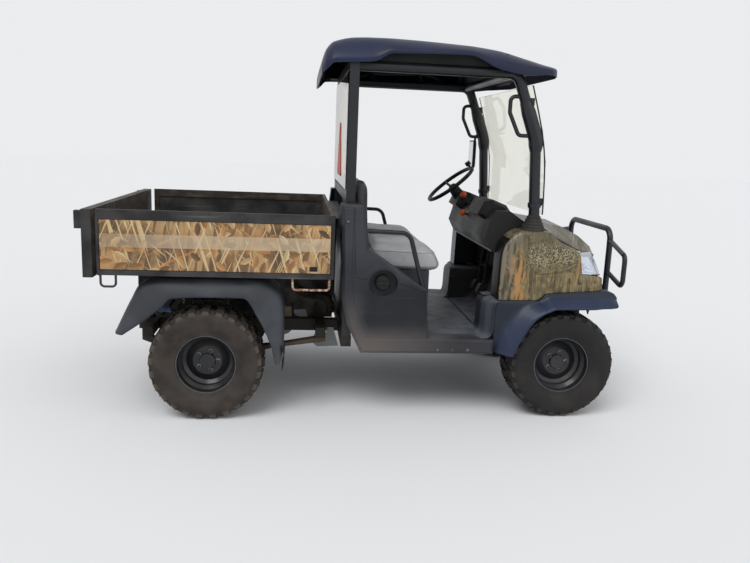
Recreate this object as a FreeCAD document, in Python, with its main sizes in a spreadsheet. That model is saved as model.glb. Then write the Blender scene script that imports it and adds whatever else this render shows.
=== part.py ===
"""Side by side utility vehicle with a tipping cargo bed, as a parametric FreeCAD document in millimetres.

X points forward, Y to the vehicle's left and Z up. The origin is on the ground, midway along the vehicle.
"""
import FreeCAD, Part
import math
import os
import Sketcher
from FreeCAD import Placement, Rotation, Vector

document = FreeCAD.newDocument("side_by_side_utv")
sheet = document.addObject("Spreadsheet::Sheet", "Sizes")

# Flats around a swept bar
BAR_SIDES = 12
# Flats around a tyre, two to each lug of a row
TYRE_FLATS = 36
# Flats around the steering wheel's rim
WHEEL_RIM_SIDES = 8

# Driving dimensions in millimetres, degrees or counts, by the part of the vehicle that they belong to
SIZES = {
    # Clearances
    "seat_gap": 0.3,
    "pin_gap": 0.05,
    "swing_gap": 3,
    "shut_gap": 8,
    # Axles and wheels
    "front_axle_x": 1107,
    "wheelbase": 1970,
    "front_track": 1140,
    "rear_track": 1216,
    "tyre_radius": 306,
    "tyre_width": 254,
    "lug_height": 15,
    "lug_length": 40,
    "lug_width": 76,
    "lug_count": 18,
    "rim_radius": 156,
    "rim_width": 204,
    "rim_lip": 10,
    "rim_wall": 5,
    "rim_drop": 16,
    "hub_radius": 66,
    "hub_face": 18,
    "hub_cap_radius": 36,
    "nut_circle_radius": 56,
    "nut_radius": 9,
    "nut_count": 5,
    "drum_radius": 104,
    "drum_width": 66,
    # Chassis
    "rail_spacing": 460,
    "rail_width": 50,
    "rail_height": 70,
    "rail_bottom": 380,
    "rail_rear_x": -1240,
    "rail_front_x": 1360,
    "tower_width": 46,
    "boss_radius": 18,
    "post_thickness": 40,
    "arm_height": 26,
    "nose_stay_length": 60,
    "nose_pad_z": 722,
    "toe_cross_gap": 91,
    "cross_width": 56,
    "cross_drop": 10,
    "receiver_size": 64,
    "receiver_wall": 6,
    "receiver_reach": 85,
    "receiver_z": 415,
    "ball_reach": 25,
    "ball_radius": 25,
    # Engine and silencer
    "engine_front_x": -175,
    "engine_length": 385,
    "engine_width": 400,
    "engine_height": 250,
    "muffler_z": 610,
    "muffler_radius": 70,
    "muffler_length": 400,
    "hanger_width": 36,
    # Rear axle and springs
    "axle_tube_radius": 38,
    "gear_case_radius": 100,
    "spring_y": 440,
    "spring_width": 50,
    "leaf_thickness": 18,
    "shock_radius": 22,
    "shock_y": 330,
    "shock_top_z": 656,
    "spring_reach": 613,
    "drum_gap": 48,
    # Steering and front axle
    "kingpin_low_y": 470,
    "kingpin_low_z": 205,
    "kingpin_high_y": 360,
    "kingpin_high_z": 800,
    "strut_radius": 16,
    "spring_coil_radius": 42,
    "arm_thickness": 20,
    "arm_drop": 6,
    "arm_inner_y": 150,
    "arm_half_width": 95,
    "strut_low_z": 428.5,
    "strut_coil_z": 655,
    "kingpin_radius": 24,
    "steering_arm_length": 120,
    "half_shaft_y": 405,
    "half_shaft_radius": 13,
    "steering_wheel_radius": 172,
    "steering_rim_radius": 13,
    "steering_wheel_tilt": 39,
    "steering_wheel_x": 623,
    "steering_wheel_y": 330,
    "steering_wheel_z": 1250,
    "steering_hub_radius": 34,
    "spoke_radius": 9,
    "column_radius": 26,
    # Cargo bed
    "bed_length": 1194,
    "bed_rear_x": -1394,
    "bed_width": 1504,
    "bed_side_thickness": 20,
    "bed_sill_z": 788,
    "bed_floor_z": 835,
    "bed_top_z": 1122,
    "bed_floor_thickness": 4,
    "bed_rail_height": 48,
    "bed_sill_height": 26,
    "bed_post_width": 34,
    "bed_panel_recess": 7,
    "bed_wall_thickness": 22,
    "subframe_spacing": 460,
    "subframe_width": 44,
    "hinge_x": -1283,
    "hinge_z": 762,
    "hinge_pin_radius": 12,
    "hinge_ear_radius": 24,
    "hinge_ear_width": 10,
    "subframe_height": 48,
    "tailgate_hinge_x": -1404,
    "tailgate_hinge_z": 783,
    "tailgate_thickness": 48,
    "tailgate_top_z": 1119,
    "tailgate_bottom_z": 774,
    "tailgate_hinge_radius": 11,
    "tailgate_pin_radius": 6,
    "tailgate_gap": 23,
    "tailgate_recess": 14,
    "tailgate_eye_inset": 132,
    "tailgate_eye_length": 40,
    "latch_reach": 38,
    "hook_radius": 6,
    "hook_drop": 60,
    # Lift cylinder under the bed
    "lift_base_x": -1080,
    "lift_base_z": 460,
    "lift_eye_x": -900,
    "lift_eye_z": 740,
    "lift_barrel_radius": 30,
    "lift_barrel_length": 262,
    "lift_neck": 32,
    "lift_cross_gap": 32,
    "lift_ear_radius": 18,
    "lift_ear_width": 10,
    "lift_foot_width": 40,
    "lift_head_width": 34,
    "lift_slack": 7.3,
    "lift_eye_rim": 7,
    "lift_rod_radius": 15,
    "lift_pin_radius": 8,
    # Cab
    "body_width": 1404,
    "body_wall": 4,
    "cover_depth": 120,
    "cover_front_x": 700,
    "cover_chamfer": 12,
    "sill_bottom_z": 374,
    "cover_top_z": 1178,
    "filler_x": 70,
    "filler_z": 761,
    "filler_radius": 78,
    "filler_depth": 60,
    "filler_cap_radius": 42,
    "filler_cap_height": 36,
    "toe_board_x": 731,
    "toe_top_z": 900,
    "tunnel_x": 346,
    "tunnel_width": 240,
    "tunnel_height": 150,
    "seat_side_gap": 22,
    "seat_front_x": 396,
    "seat_bottom_z": 808,
    "seat_thickness": 138,
    "seat_round": 34,
    "backrest_top_z": 1310,
    "backrest_thickness": 72,
    "seat_box_length": 346,
    "seat_overhang": 51,
    "bulkhead_top_z": 1092,
    # Roll frame, canopy and screens
    "rear_post_x": -116,
    "rear_post_spacing": 1200,
    "post_width": 50,
    "front_post_spacing": 1120,
    "front_post_radius": 30,
    "front_post_foot_x": 914,
    "front_post_foot_z": 720,
    "side_rail_z": 1894,
    "hoop_bar_top_z": 1235,
    "hoop_top_z": 1920,
    "roof_top_z": 2062,
    "roof_crown": 10,
    "roof_wall": 5,
    "glass_thickness": 5,
    "screen_bottom_z": 1250,
    "screen_top_z": 1860,
    "sign_width": 360,
    "sign_height": 310,
    "sign_bottom_z": 1300,
    "sign_thickness": 3,
    "hip_bar_radius": 12.5,
    "hip_bar_inset": 34,
    "handle_radius": 11,
    "mirror_arm_radius": 8,
    # Front body
    "cowl_width": 1290,
    "cowl_depth": 145,
    "cowl_top_z": 1060,
    "cowl_foot_z": 671,
    "cowl_round": 14,
    "cowl_shoulder": 20,
    "hood_width": 980,
    "hood_crown": 26,
    "hood_rear_x": 925,
    "hood_rear_z": 1072,
    "fender_width": 1490,
    "fender_wall": 4,
    "fender_flare": 45,
    "front_crease_y": 668,
    "rear_shelf_y": 470,
    "rear_shelf_z": 772,
    "fender_post_rear": 160,
    "fender_post_front": 200,
    "boot_radius": 68,
    "boot_height": 82,
    "boot_steps": 5,
    "lamp_width": 150,
    "lamp_gap": 60,
    "nose_x": 1384,
    "nose_bottom_z": 560,
    "nose_top_z": 866,
    "slat_count": 4,
    # Front guard
    "guard_x": 1484,
    "guard_radius": 18,
    "guard_width": 630,
    "guard_ear_width": 1196,
    "guard_ear_radius": 14,
    "guard_top_z": 1045,
    "guard_bottom_z": 662,
    "guard_stay_z": 680,
    "guard_stay_height": 60,
}
for row, (alias, value) in enumerate(SIZES.items(), start=1):
    sheet.set(f"A{row}", alias)
    sheet.set(f"B{row}", str(value))
    sheet.setAlias(f"B{row}", alias)
document.recompute()


class Size(float):
    """A length that also carries the sheet expression that gives it."""

    def __new__(cls, value, text):
        size = float.__new__(cls, value)
        size.text = text
        return size

    def __add__(self, other):
        return joined(self, "+", other, float(self) + float(other))

    def __radd__(self, other):
        return joined(other, "+", self, float(other) + float(self))

    def __sub__(self, other):
        return joined(self, "-", other, float(self) - float(other))

    def __rsub__(self, other):
        return joined(other, "-", self, float(other) - float(self))

    def __mul__(self, other):
        return joined(self, "*", other, float(self) * float(other))

    def __rmul__(self, other):
        return joined(other, "*", self, float(other) * float(self))

    def __truediv__(self, other):
        return joined(self, "/", other, float(self) / float(other))

    def __neg__(self):
        return joined(0, "-", self, -float(self))


def wording(size):
    """The expression of a size, or a plain number as text."""
    return size.text if isinstance(size, Size) else f"{size:.6g}"


def joined(first, sign, second, value):
    return Size(value, f"({wording(first)} {sign} {wording(second)})")


class Sheet:
    """Gives each alias of the sheet as a Size."""

    def __getattr__(self, alias):
        return Size(getattr(sheet, alias), f"Sizes.{alias}")


s = Sheet()
rear_axle_x = s.front_axle_x - s.wheelbase
axle_z = s.tyre_radius
rail_top = s.rail_bottom + s.rail_height
rail_inner = s.rail_spacing / 2 - s.rail_width / 2
rail_outer = s.rail_spacing / 2 + s.rail_width / 2
floor_top = rail_top + s.seat_gap + s.body_wall
bed_front_x = s.bed_rear_x + s.bed_length
bed_inner = s.bed_width / 2 - s.bed_side_thickness
cover_inner = s.body_width / 2 - s.cover_depth
seat_half = cover_inner - s.seat_side_gap
post_inner = s.rear_post_spacing / 2 - s.post_width / 2
post_front_x = s.rear_post_x + s.post_width / 2
post_rear_x = s.rear_post_x - s.post_width / 2
cross_bottom = s.rail_bottom + s.cross_drop
front_foot_z = s.front_post_foot_z - s.seat_gap
shelf_z = s.rear_shelf_z
fender_rest_z = shelf_z - s.fender_wall - s.seat_gap
bed_rest_z = s.bed_floor_z - s.bed_floor_thickness - s.subframe_height - s.seat_gap
shock_x = rear_axle_x + 90
shock_top_z = s.shock_top_z
strut_low_z = s.strut_low_z
spring_eye_x = rear_axle_x + s.spring_reach
muffler_x = rear_axle_x + 208
drum_face = s.rear_track / 2 - s.drum_gap
receiver_mouth_x = s.rail_rear_x - s.receiver_reach
cover_front_x = s.cover_front_x
tunnel_clear = s.tunnel_width / 2 + 10
cowl_inner = s.cowl_width / 2 - s.cowl_depth
tailgate_eye_y = bed_inner - s.tailgate_eye_inset

sub_parts = []


def sub_part(thing, label):
    """Names an object and puts it on the list of sub-parts."""
    thing.Label = label
    sub_parts.append(thing)
    return thing


def feature(label, shape):
    """A sub-part whose shape Part's own functions make."""
    thing = document.addObject("Part::Feature", label)
    thing.Shape = shape
    return sub_part(thing, label)


def box(name, x, y, z):
    """A box between two values of x, of y and of z, bound to the sheet."""
    thing = document.addObject("Part::Box", name)
    for axis, size, (low, high) in zip("xyz", ("Length", "Width", "Height"), (x, y, z)):
        thing.setExpression(f"Placement.Base.{axis}", wording(low))
        thing.setExpression(size, joined(high, "-", low, 0).text)
    return thing


TURNS = {"x": Rotation(Vector(0, 1, 0), 90), "y": Rotation(Vector(1, 0, 0), -90), "z": Rotation()}


def cylinder(name, axis, radius, start, length):
    """A cylinder from a point along an axis, bound to the sheet."""
    thing = document.addObject("Part::Cylinder", name)
    thing.Placement = Placement(Vector(), TURNS[axis])
    thing.setExpression("Radius", wording(radius))
    thing.setExpression("Height", wording(length))
    for letter, value in zip("xyz", start):
        thing.setExpression(f"Placement.Base.{letter}", wording(value))
    return thing


def fuse(name, shapes):
    thing = document.addObject("Part::MultiFuse", name)
    thing.Shapes = shapes
    return thing


def cut(name, base, tool):
    thing = document.addObject("Part::Cut", name)
    thing.Base = base
    thing.Tool = tool
    return thing


def origin_feature(body, role):
    """A plane or an axis of a body's origin."""
    return next(item for item in body.Origin.OriginFeatures if item.Role == role)


def outline_sketch(body, name, plane, points, offset=0):
    """A closed sketch on an origin plane, with its corners bound to the sheet."""
    sketch = body.newObject("Sketcher::SketchObject", name)
    sketch.AttachmentSupport = [(origin_feature(body, plane), "")]
    sketch.MapMode = "FlatFace"
    corners = [Vector(u, v, 0) for u, v in points]
    for index, corner in enumerate(corners):
        sketch.addGeometry(Part.LineSegment(corner, corners[(index + 1) % len(corners)]), False)
    for index, (u, v) in enumerate(points):
        sketch.addConstraint(Sketcher.Constraint("Coincident", index, 2, (index + 1) % len(points), 1))
        for kind, value in (("DistanceX", u), ("DistanceY", v)):
            constraint = sketch.addConstraint(Sketcher.Constraint(kind, -1, 1, index, 1, float(value)))
            if isinstance(value, Size):
                sketch.setExpression(f"Constraints[{constraint}]", value.text)
    sketch.setExpression("AttachmentOffset.Base.z", wording(offset))
    return sketch


def turned(body, name, points):
    """A revolution about the Y axis of an outline given as (y, radius)."""
    sketch = outline_sketch(body, f"{name}_outline", "YZ_Plane", points)
    revolution = body.newObject("PartDesign::Revolution", name)
    revolution.Profile = sketch
    revolution.ReferenceAxis = (sketch, ["H_Axis"])
    revolution.Angle = 360
    body.Tip = revolution
    document.recompute()
    return revolution


def polygon(points):
    corners = [Vector(*point) for point in points]
    return Part.makePolygon(corners + corners[:1])


def slab(points, y_low, y_high):
    """A solid whose outline is in x and z, between two values of y."""
    return Part.Face(polygon([(x, y_low, z) for x, z in points])).extrude(Vector(0, y_high - y_low, 0))


def block(x, y, z):
    """A plain box solid between two values of x, of y and of z."""
    low = Vector(x[0], min(y), z[0])
    return Part.makeBox(x[1] - x[0], max(y) - min(y), z[1] - z[0], low)


def rod(start, end, radius):
    first, last = Vector(*start), Vector(*end)
    return Part.makeCylinder(radius, (last - first).Length, first, last - first)


def loft(sections):
    """A solid with flat sides through closed outlines that have as many corners each."""
    return Part.makeLoft([polygon(section) for section in sections], True, True)


def inset(points, wall):
    """An outline of (x, z) moved inwards by a wall, or outwards by a negative one."""
    area = sum(a[0] * b[1] - b[0] * a[1] for a, b in zip(points, points[1:] + points[:1]))
    inward = wall if area > 0 else -wall
    moved = []
    for before, corner, after in zip(points[-1:] + points[:-1], points, points[1:] + points[:1]):
        first = Vector(corner[0] - before[0], corner[1] - before[1], 0).normalize()
        second = Vector(after[0] - corner[0], after[1] - corner[1], 0).normalize()
        bisector = Vector(-first.y - second.y, first.x + second.x, 0).normalize()
        reach = inward / max(0.4, bisector.dot(Vector(-first.y, first.x, 0)))
        moved.append((corner[0] + bisector.x * reach, corner[1] + bisector.y * reach))
    return moved


def flat_ring(middle, direction, radius):
    """A closed outline of BAR_SIDES equal flats around a direction, which a round bar is swept from."""
    turn = Rotation(Vector(0, 0, 1), direction)
    corners = []
    for index in range(BAR_SIDES):
        angle = 2 * math.pi * (index + 0.5) / BAR_SIDES
        corners.append(middle + turn.multVec(Vector(math.cos(angle), math.sin(angle), 0) * radius))
    return Part.makePolygon(corners + corners[:1])


def bar(points, radius, bend):
    """A round bar along straight stretches, with an arc of the bend radius at each corner."""
    corners = [Vector(*point) for point in points]
    edges = []
    start = corners[0]
    for before, corner, after in zip(corners, corners[1:], corners[2:]):
        inward = (before - corner).normalize()
        outward = (after - corner).normalize()
        half_angle = inward.getAngle(outward) / 2
        reach = bend / math.tan(half_angle)
        middle = corner + (inward + outward).normalize() * (bend / math.sin(half_angle) - bend)
        entry = corner + inward * reach
        leave = corner + outward * reach
        edges.append(Part.LineSegment(start, entry).toShape())
        edges.append(Part.Arc(entry, middle, leave).toShape())
        start = leave
    edges.append(Part.LineSegment(start, corners[-1]).toShape())
    path = Part.Wire(edges)
    section = flat_ring(corners[0], (corners[1] - corners[0]).normalize(), radius)
    return path.makePipeShell([section], True, False)


def both_sides(build):
    """Calls a builder for the right side, at negative y, and for the left."""
    for side, word in ((-1, "right"), (1, "left")):
        build(side, word)


def outward(side, near, far):
    """Low and high y of a stretch that runs outwards from the middle on one side."""
    return (near, far) if side > 0 else (-far, -near)


def chassis_frame():
    """Two rails, cross members, towers for the bed's hinge, stays for the body and the hitch receiver."""
    pieces = []
    half_cross = s.cross_width / 2
    post_low, post_high = rail_inner + 10, rail_outer - 10
    for side, word in ((-1, "right"), (1, "left")):
        rail = outward(side, rail_inner, rail_outer)
        post = outward(side, post_low, post_high)
        pieces.append(box(f"rail_{word}", (s.rail_rear_x, s.rail_front_x), rail, (s.rail_bottom, rail_top)))
        tower = (s.hinge_x - s.boss_radius, s.hinge_x + s.boss_radius + s.tower_width)
        pieces.append(box(f"tower_{word}", tower, rail, (s.rail_bottom, s.hinge_z)))
        start = (s.hinge_x, rail[0], s.hinge_z)
        pieces.append(cylinder(f"tower_boss_{word}", "y", s.boss_radius, start, s.rail_width))
        pin = outward(side, rail_inner, rail_outer + s.hinge_ear_width + s.swing_gap)
        start = (s.hinge_x, pin[0], s.hinge_z)
        pieces.append(cylinder(f"hinge_pin_{word}", "y", s.hinge_pin_radius, start, joined(pin[1], "-", pin[0], pin[1] - pin[0])))
        for name, x in (("rear", rear_axle_x - s.fender_post_rear), ("front", rear_axle_x + s.fender_post_front)):
            across = (x - s.post_thickness / 2, x + s.post_thickness / 2)
            pieces.append(box(f"bed_rest_{name}_{word}", across, post, (rail_top - 5, bed_rest_z)))
            arm = outward(side, post_low, s.fender_width / 2 - 140)
            pieces.append(box(f"fender_arm_{name}_{word}", across, arm, (fender_rest_z - s.arm_height, fender_rest_z)))
        across = (shock_x - s.post_thickness / 2, shock_x + s.post_thickness / 2)
        pieces.append(box(f"shock_post_{word}", across, post, (rail_top - 5, shock_top_z + s.arm_height)))
        arm = outward(side, post_low, s.shock_y + s.shock_radius)
        pieces.append(box(f"shock_arm_{word}", across, arm, (shock_top_z + s.seat_gap, shock_top_z + s.arm_height)))
        nose = (s.rail_front_x - s.nose_stay_length, s.rail_front_x)
        pieces.append(box(f"nose_stay_{word}", nose, rail, (rail_top - 5, s.nose_pad_z + s.rail_width)))
        pad_x = (s.rail_front_x - 5, s.nose_x - s.seat_gap)
        pieces.append(box(f"nose_pad_{word}", pad_x, rail, (s.nose_pad_z, s.nose_pad_z + s.rail_width)))
        foot_x = (s.front_post_foot_x - s.front_post_radius, s.front_post_foot_x + s.front_post_radius)
        riser = outward(side, post_low, rail_outer)
        pieces.append(box(f"post_riser_{word}", foot_x, riser, (rail_top - 5, front_foot_z)))
        arm = outward(side, post_low, s.front_post_spacing / 2 + s.front_post_radius)
        pieces.append(box(f"post_arm_{word}", foot_x, arm, (front_foot_z - s.arm_height, front_foot_z)))
        ear_x = (s.lift_base_x - s.lift_cross_gap - 3, s.lift_base_x + s.lift_ear_radius)
        ear = outward(side, s.lift_foot_width / 2 + 1, s.lift_foot_width / 2 + 1 + s.lift_ear_width)
        ear_z = (rail_top - s.arm_height, s.lift_base_z + s.lift_ear_radius)
        pieces.append(box(f"lift_foot_ear_{word}", ear_x, ear, ear_z))
    crosses = (
        ("rear", s.rail_rear_x + half_cross, s.spring_y + s.spring_width / 2),
        ("lift", s.lift_base_x - s.lift_cross_gap - half_cross, rail_outer),
        ("muffler", muffler_x, rail_outer),
        ("spring", spring_eye_x, s.spring_y + s.spring_width / 2),
        ("cab_rear", s.rear_post_x, s.rear_post_spacing / 2 + s.post_width / 2),
        ("cab_front", s.toe_board_x - s.toe_cross_gap, cover_inner - s.shut_gap),
        ("axle", s.front_axle_x, rail_outer),
        ("nose", s.rail_front_x - half_cross, rail_outer),
    )
    for name, x, reach in crosses:
        across = (x - half_cross, x + half_cross)
        pieces.append(box(f"cross_{name}", across, (-reach, reach), (cross_bottom, rail_top)))
    hanger = (muffler_x - s.hanger_width / 2, muffler_x + s.hanger_width / 2)
    hanger_top = s.muffler_z - s.muffler_radius - s.seat_gap
    pieces.append(box("muffler_hanger", hanger, (-s.muffler_radius, s.muffler_radius), (rail_top - 5, hanger_top)))
    ear_reach = s.lift_foot_width / 2 + 1 + s.lift_ear_width
    start = (s.lift_base_x, -ear_reach, s.lift_base_z)
    pieces.append(cylinder("lift_foot_pin", "y", s.lift_pin_radius, start, ear_reach * 2))
    half = s.receiver_size / 2
    bore = half - s.receiver_wall
    outer_z = (s.receiver_z - half, s.receiver_z + half)
    pieces.append(box("receiver_outer", (receiver_mouth_x, s.rail_rear_x + 5), (-half, half), outer_z))
    bore_x = (receiver_mouth_x - 1, s.rail_rear_x + 2)
    hole = box("receiver_bore", bore_x, (-bore, bore), (s.receiver_z - bore, s.receiver_z + bore))
    sub_part(cut("chassis_frame", fuse("frame_blank", pieces), hole), "chassis_frame")


def engine_block():
    """The engine and gearbox as one plain block between the rails."""
    length = (s.engine_front_x - s.engine_length, s.engine_front_x)
    height = (rail_top + s.seat_gap, rail_top + s.seat_gap + s.engine_height)
    blank = box("engine_blank", length, (-s.engine_width / 2, s.engine_width / 2), height)
    pan_front = spring_eye_x - s.cross_width / 2 - s.swing_gap
    pan = box("engine_pan", (length[0] + 60, pan_front), (-rail_inner + 25, rail_inner - 25), (s.rail_bottom + 5, height[0] + 5))
    sub_part(fuse("engine_block", [blank, pan]), "engine_block")


def muffler():
    """The round silencer that lies across the rails behind the engine, with its short tail pipe."""
    body = document.addObject("PartDesign::Body", "muffler")
    half = s.muffler_length / 2
    radius = s.muffler_radius
    profile = ((-half, 0), (-half, radius * 0.5), (-half + 30, radius), (half - 30, radius), (half, radius * 0.5), (half, 0))
    turned(body, "muffler_drum", profile)
    body.setExpression("Placement.Base.x", wording(muffler_x))
    body.setExpression("Placement.Base.z", wording(s.muffler_z))
    sub_part(body, "muffler")


def rear_suspension():
    """The live rear axle with its gear case, leaf springs, brake drums and dampers."""
    shapes = [rod((rear_axle_x, -drum_face, axle_z), (rear_axle_x, drum_face, axle_z), s.axle_tube_radius)]
    case_half = s.gear_case_radius
    shapes.append(rod((rear_axle_x, -case_half * 0.6, axle_z), (rear_axle_x, case_half * 0.6, axle_z), s.gear_case_radius))
    for side in (-1, 1):
        low = Vector(rear_axle_x, side * case_half * 0.6, axle_z)
        shapes.append(Part.makeCone(s.gear_case_radius, s.axle_tube_radius, case_half, low, Vector(0, side, 0)))
        inner = drum_face - s.drum_width
        shapes.append(rod((rear_axle_x, side * inner, axle_z), (rear_axle_x, side * drum_face, axle_z), s.drum_radius))
        hub_end = s.rear_track / 2 + s.hub_face - s.seat_gap
        shapes.append(rod((rear_axle_x, side * drum_face, axle_z), (rear_axle_x, side * hub_end, axle_z), s.hub_radius))
        leaf_y = (s.spring_y - s.spring_width / 2, s.spring_y + s.spring_width / 2)
        leaf = slab(leaf_spring_outline(), *outward(side, *leaf_y))
        shapes.append(leaf)
        shock_end = (shock_x, side * s.shock_y, shock_top_z)
        shapes.append(rod((shock_x, side * s.shock_y, axle_z + 20), (shock_x, side * s.shock_y, shock_top_z - 130), s.shock_radius))
        shapes.append(rod((shock_x, side * s.shock_y, axle_z + 20), shock_end, s.shock_radius / 2))
        foot_y = outward(side, s.shock_y - s.shock_radius, s.shock_y + s.shock_radius)
        shapes.append(block((rear_axle_x, shock_x + s.shock_radius), foot_y, (axle_z, axle_z + 26)))
    feature("rear_suspension", shapes[0].fuse(shapes[1:]).removeSplitter())


def leaf_spring_outline():
    """Outline in x and z of a leaf spring that is arched up at both eyes and clamped at the axle."""
    low = axle_z + s.axle_tube_radius - s.leaf_thickness * 1.2
    top = cross_bottom - s.seat_gap
    thick = s.leaf_thickness
    clamp = s.axle_tube_radius * 1.6
    front = spring_eye_x + s.cross_width / 2
    rear = s.rail_rear_x
    return [
        (front, top), (front - 70, top), (rear_axle_x + 363, low + 30), (rear_axle_x + clamp, low),
        (rear_axle_x - clamp, low), (rear_axle_x - 267, low + 26), (rear + 50, top), (rear, top),
        (rear, top - thick), (rear_axle_x - 267, low + 26 - thick), (rear_axle_x - clamp, low - thick * 3),
        (rear_axle_x + clamp, low - thick * 3), (rear_axle_x + 363, low + 30 - thick), (front, top - thick),
    ]


def kingpin_point(z, side):
    """The point of a kingpin's line at a height."""
    share = (z - s.kingpin_low_z) / (s.kingpin_high_z - s.kingpin_low_z)
    return (s.front_axle_x, side * (s.kingpin_low_y + share * (s.kingpin_high_y - s.kingpin_low_y)), z)


def front_suspension():
    """Lower arms, strut legs with their springs, strut towers, the gear case and its half shafts."""
    axle_x = s.front_axle_x
    thick = s.arm_thickness
    arm_z = s.kingpin_low_z
    inner_y = s.arm_inner_y
    case_radius = s.rail_bottom + s.cross_drop - axle_z - s.seat_gap
    shapes = [rod((axle_x, -case_radius, axle_z), (axle_x, case_radius, axle_z), case_radius)]
    for side in (-1, 1):
        outer = kingpin_point(arm_z, side)
        half = s.arm_half_width
        arm = []
        pad_z = arm_z - s.arm_drop - thick
        for y, z, reach in ((outer[1] + side * 14, pad_z, 22), (outer[1] - side * 36, pad_z, 30), (side * inner_y, arm_z + 30, half)):
            arm.append([(axle_x - reach, y, z), (axle_x + reach, y, z), (axle_x + reach, y, z + thick), (axle_x - reach, y, z + thick)])
        shapes.append(loft(arm))
        mount = (axle_x - half - 20, axle_x + half + 20)
        shapes.append(block(mount, outward(side, inner_y - 30, inner_y + 30), (arm_z + 30, arm_z + 30 + thick)))
        for end in (mount[0] + 40, mount[1] - 40):
            leg = (end - 30, end + 30)
            shapes.append(block(leg, outward(side, inner_y - 20, inner_y + 20), (arm_z + 30, s.rail_bottom + s.cross_drop - s.seat_gap)))
            shapes.append(block(leg, outward(side, inner_y - 20, s.rail_spacing / 2), (s.rail_bottom - 30, s.rail_bottom - s.seat_gap)))
        low, coil_low, coil_top, top = (kingpin_point(z, side) for z in (strut_low_z, s.strut_coil_z, s.kingpin_high_z, s.kingpin_high_z + 18))
        shapes.append(rod(low, coil_low, s.strut_radius))
        shapes.append(rod(coil_low, coil_top, s.spring_coil_radius))
        shapes.append(rod(coil_top, top, s.strut_radius * 0.6))
        plate_z = (s.kingpin_high_z + 12, s.kingpin_high_z + 20)
        tower_y = s.rail_spacing / 2
        shapes.append(block((axle_x - 55, axle_x + 55), outward(side, tower_y, s.kingpin_high_y + 40), plate_z))
        shapes.append(block((axle_x - 40, axle_x + 40), outward(side, tower_y, tower_y + 14), (rail_top + s.seat_gap, plate_z[0] + 2)))
        shapes.append(rod((axle_x, side * case_radius, axle_z), (axle_x, side * s.half_shaft_y, axle_z), s.half_shaft_radius))
        boot_end = case_radius + 60
        shapes.append(Part.makeCone(34, 18, 60, Vector(axle_x, side * case_radius, axle_z), Vector(0, side, 0)))
        shapes.append(Part.makeCone(18, 30, 50, Vector(axle_x, side * (s.half_shaft_y - 50), axle_z), Vector(0, side, 0)))
    feature("front_suspension", shapes[0].fuse(shapes[1:]).removeSplitter())


def knuckle(side, word):
    """A steering knuckle on its kingpin, with the brake drum, the hub and the steering arm."""
    track = s.front_track / 2
    drum = (track - 92, track - 30)
    hub_end = track + s.hub_face - s.seat_gap
    lean = (s.kingpin_low_y - s.kingpin_high_y) / (s.kingpin_high_z - s.kingpin_low_z)
    foot_z = s.kingpin_low_z - s.arm_drop + s.seat_gap + s.kingpin_radius * lean
    low, top = kingpin_point(foot_z, side), kingpin_point(strut_low_z - s.seat_gap, side)
    shapes = [rod(low, top, s.kingpin_radius)]
    for near, far, radius in ((drum[0] - 23, drum[0], 70), (drum[0], drum[1], 100), (drum[1], hub_end, s.hub_radius)):
        start, end = (s.front_axle_x, side * near, axle_z), (s.front_axle_x, side * far, axle_z)
        shapes.append(rod(start, end, radius))
    arm_x = (s.front_axle_x - s.steering_arm_length, s.front_axle_x)
    arm_y = outward(side, s.kingpin_high_y + 64, s.kingpin_high_y + 90)
    shapes.append(block(arm_x, arm_y, (axle_z - 71, axle_z - 49)))
    feature(f"knuckle_{word}", shapes[0].fuse(shapes[1:]).removeSplitter())


def tyre_band(profile):
    """A tyre's carcass: rings of TYRE_FLATS flats through a profile of (y, distance of the flats)."""
    rings = []
    for y, distance in profile:
        corner = distance / math.cos(math.pi / TYRE_FLATS)
        angles = [2 * math.pi * (index + 0.5) / TYRE_FLATS for index in range(TYRE_FLATS)]
        rings.append([(corner * math.sin(angle), y, corner * math.cos(angle)) for angle in angles])
    return loft(rings)


def tyre_shape():
    """A lugged tyre about its own middle: a flat-sided carcass and two rows of shoulder lugs."""
    half = s.tyre_width / 2
    tread = s.tyre_radius - s.lug_height
    bead = s.rim_radius + s.seat_gap
    bead_y = s.rim_width / 2 - s.rim_lip
    side_wall = (
        (-bead_y, bead), (-bead_y - 10, bead + 24), (-half, s.rim_radius + 60), (-half + 5, tread - 32),
        (-half + 45, tread),
    )
    profile = list(side_wall) + [(-y, distance) for y, distance in reversed(side_wall)]
    carcass = tyre_band(profile)
    bore = tyre_band([(-bead_y - 1, bead), (bead_y + 1, bead)])
    shape = carcass.cut(bore)
    step = 360 / s.lug_count
    lugs = []
    inner = s.tyre_width / 2 - s.lug_width - 12
    root = tread - 26
    for row_side, shift in ((1, 0), (-1, step / 2)):
        near, far = row_side * inner, row_side * (inner + s.lug_width)
        start_x = -s.lug_length / 2
        face = [(start_x, near, root), (start_x, near, s.tyre_radius), (start_x, far, s.tyre_radius - 6), (start_x, far, root)]
        lug = Part.Face(polygon(face)).extrude(Vector(s.lug_length, 0, 0))
        for index in range(int(s.lug_count)):
            copy = lug.copy()
            copy.rotate(Vector(), Vector(0, 1, 0), 180 + shift + step * index)
            lugs.append(copy)
    return shape.fuse(lugs)


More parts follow.
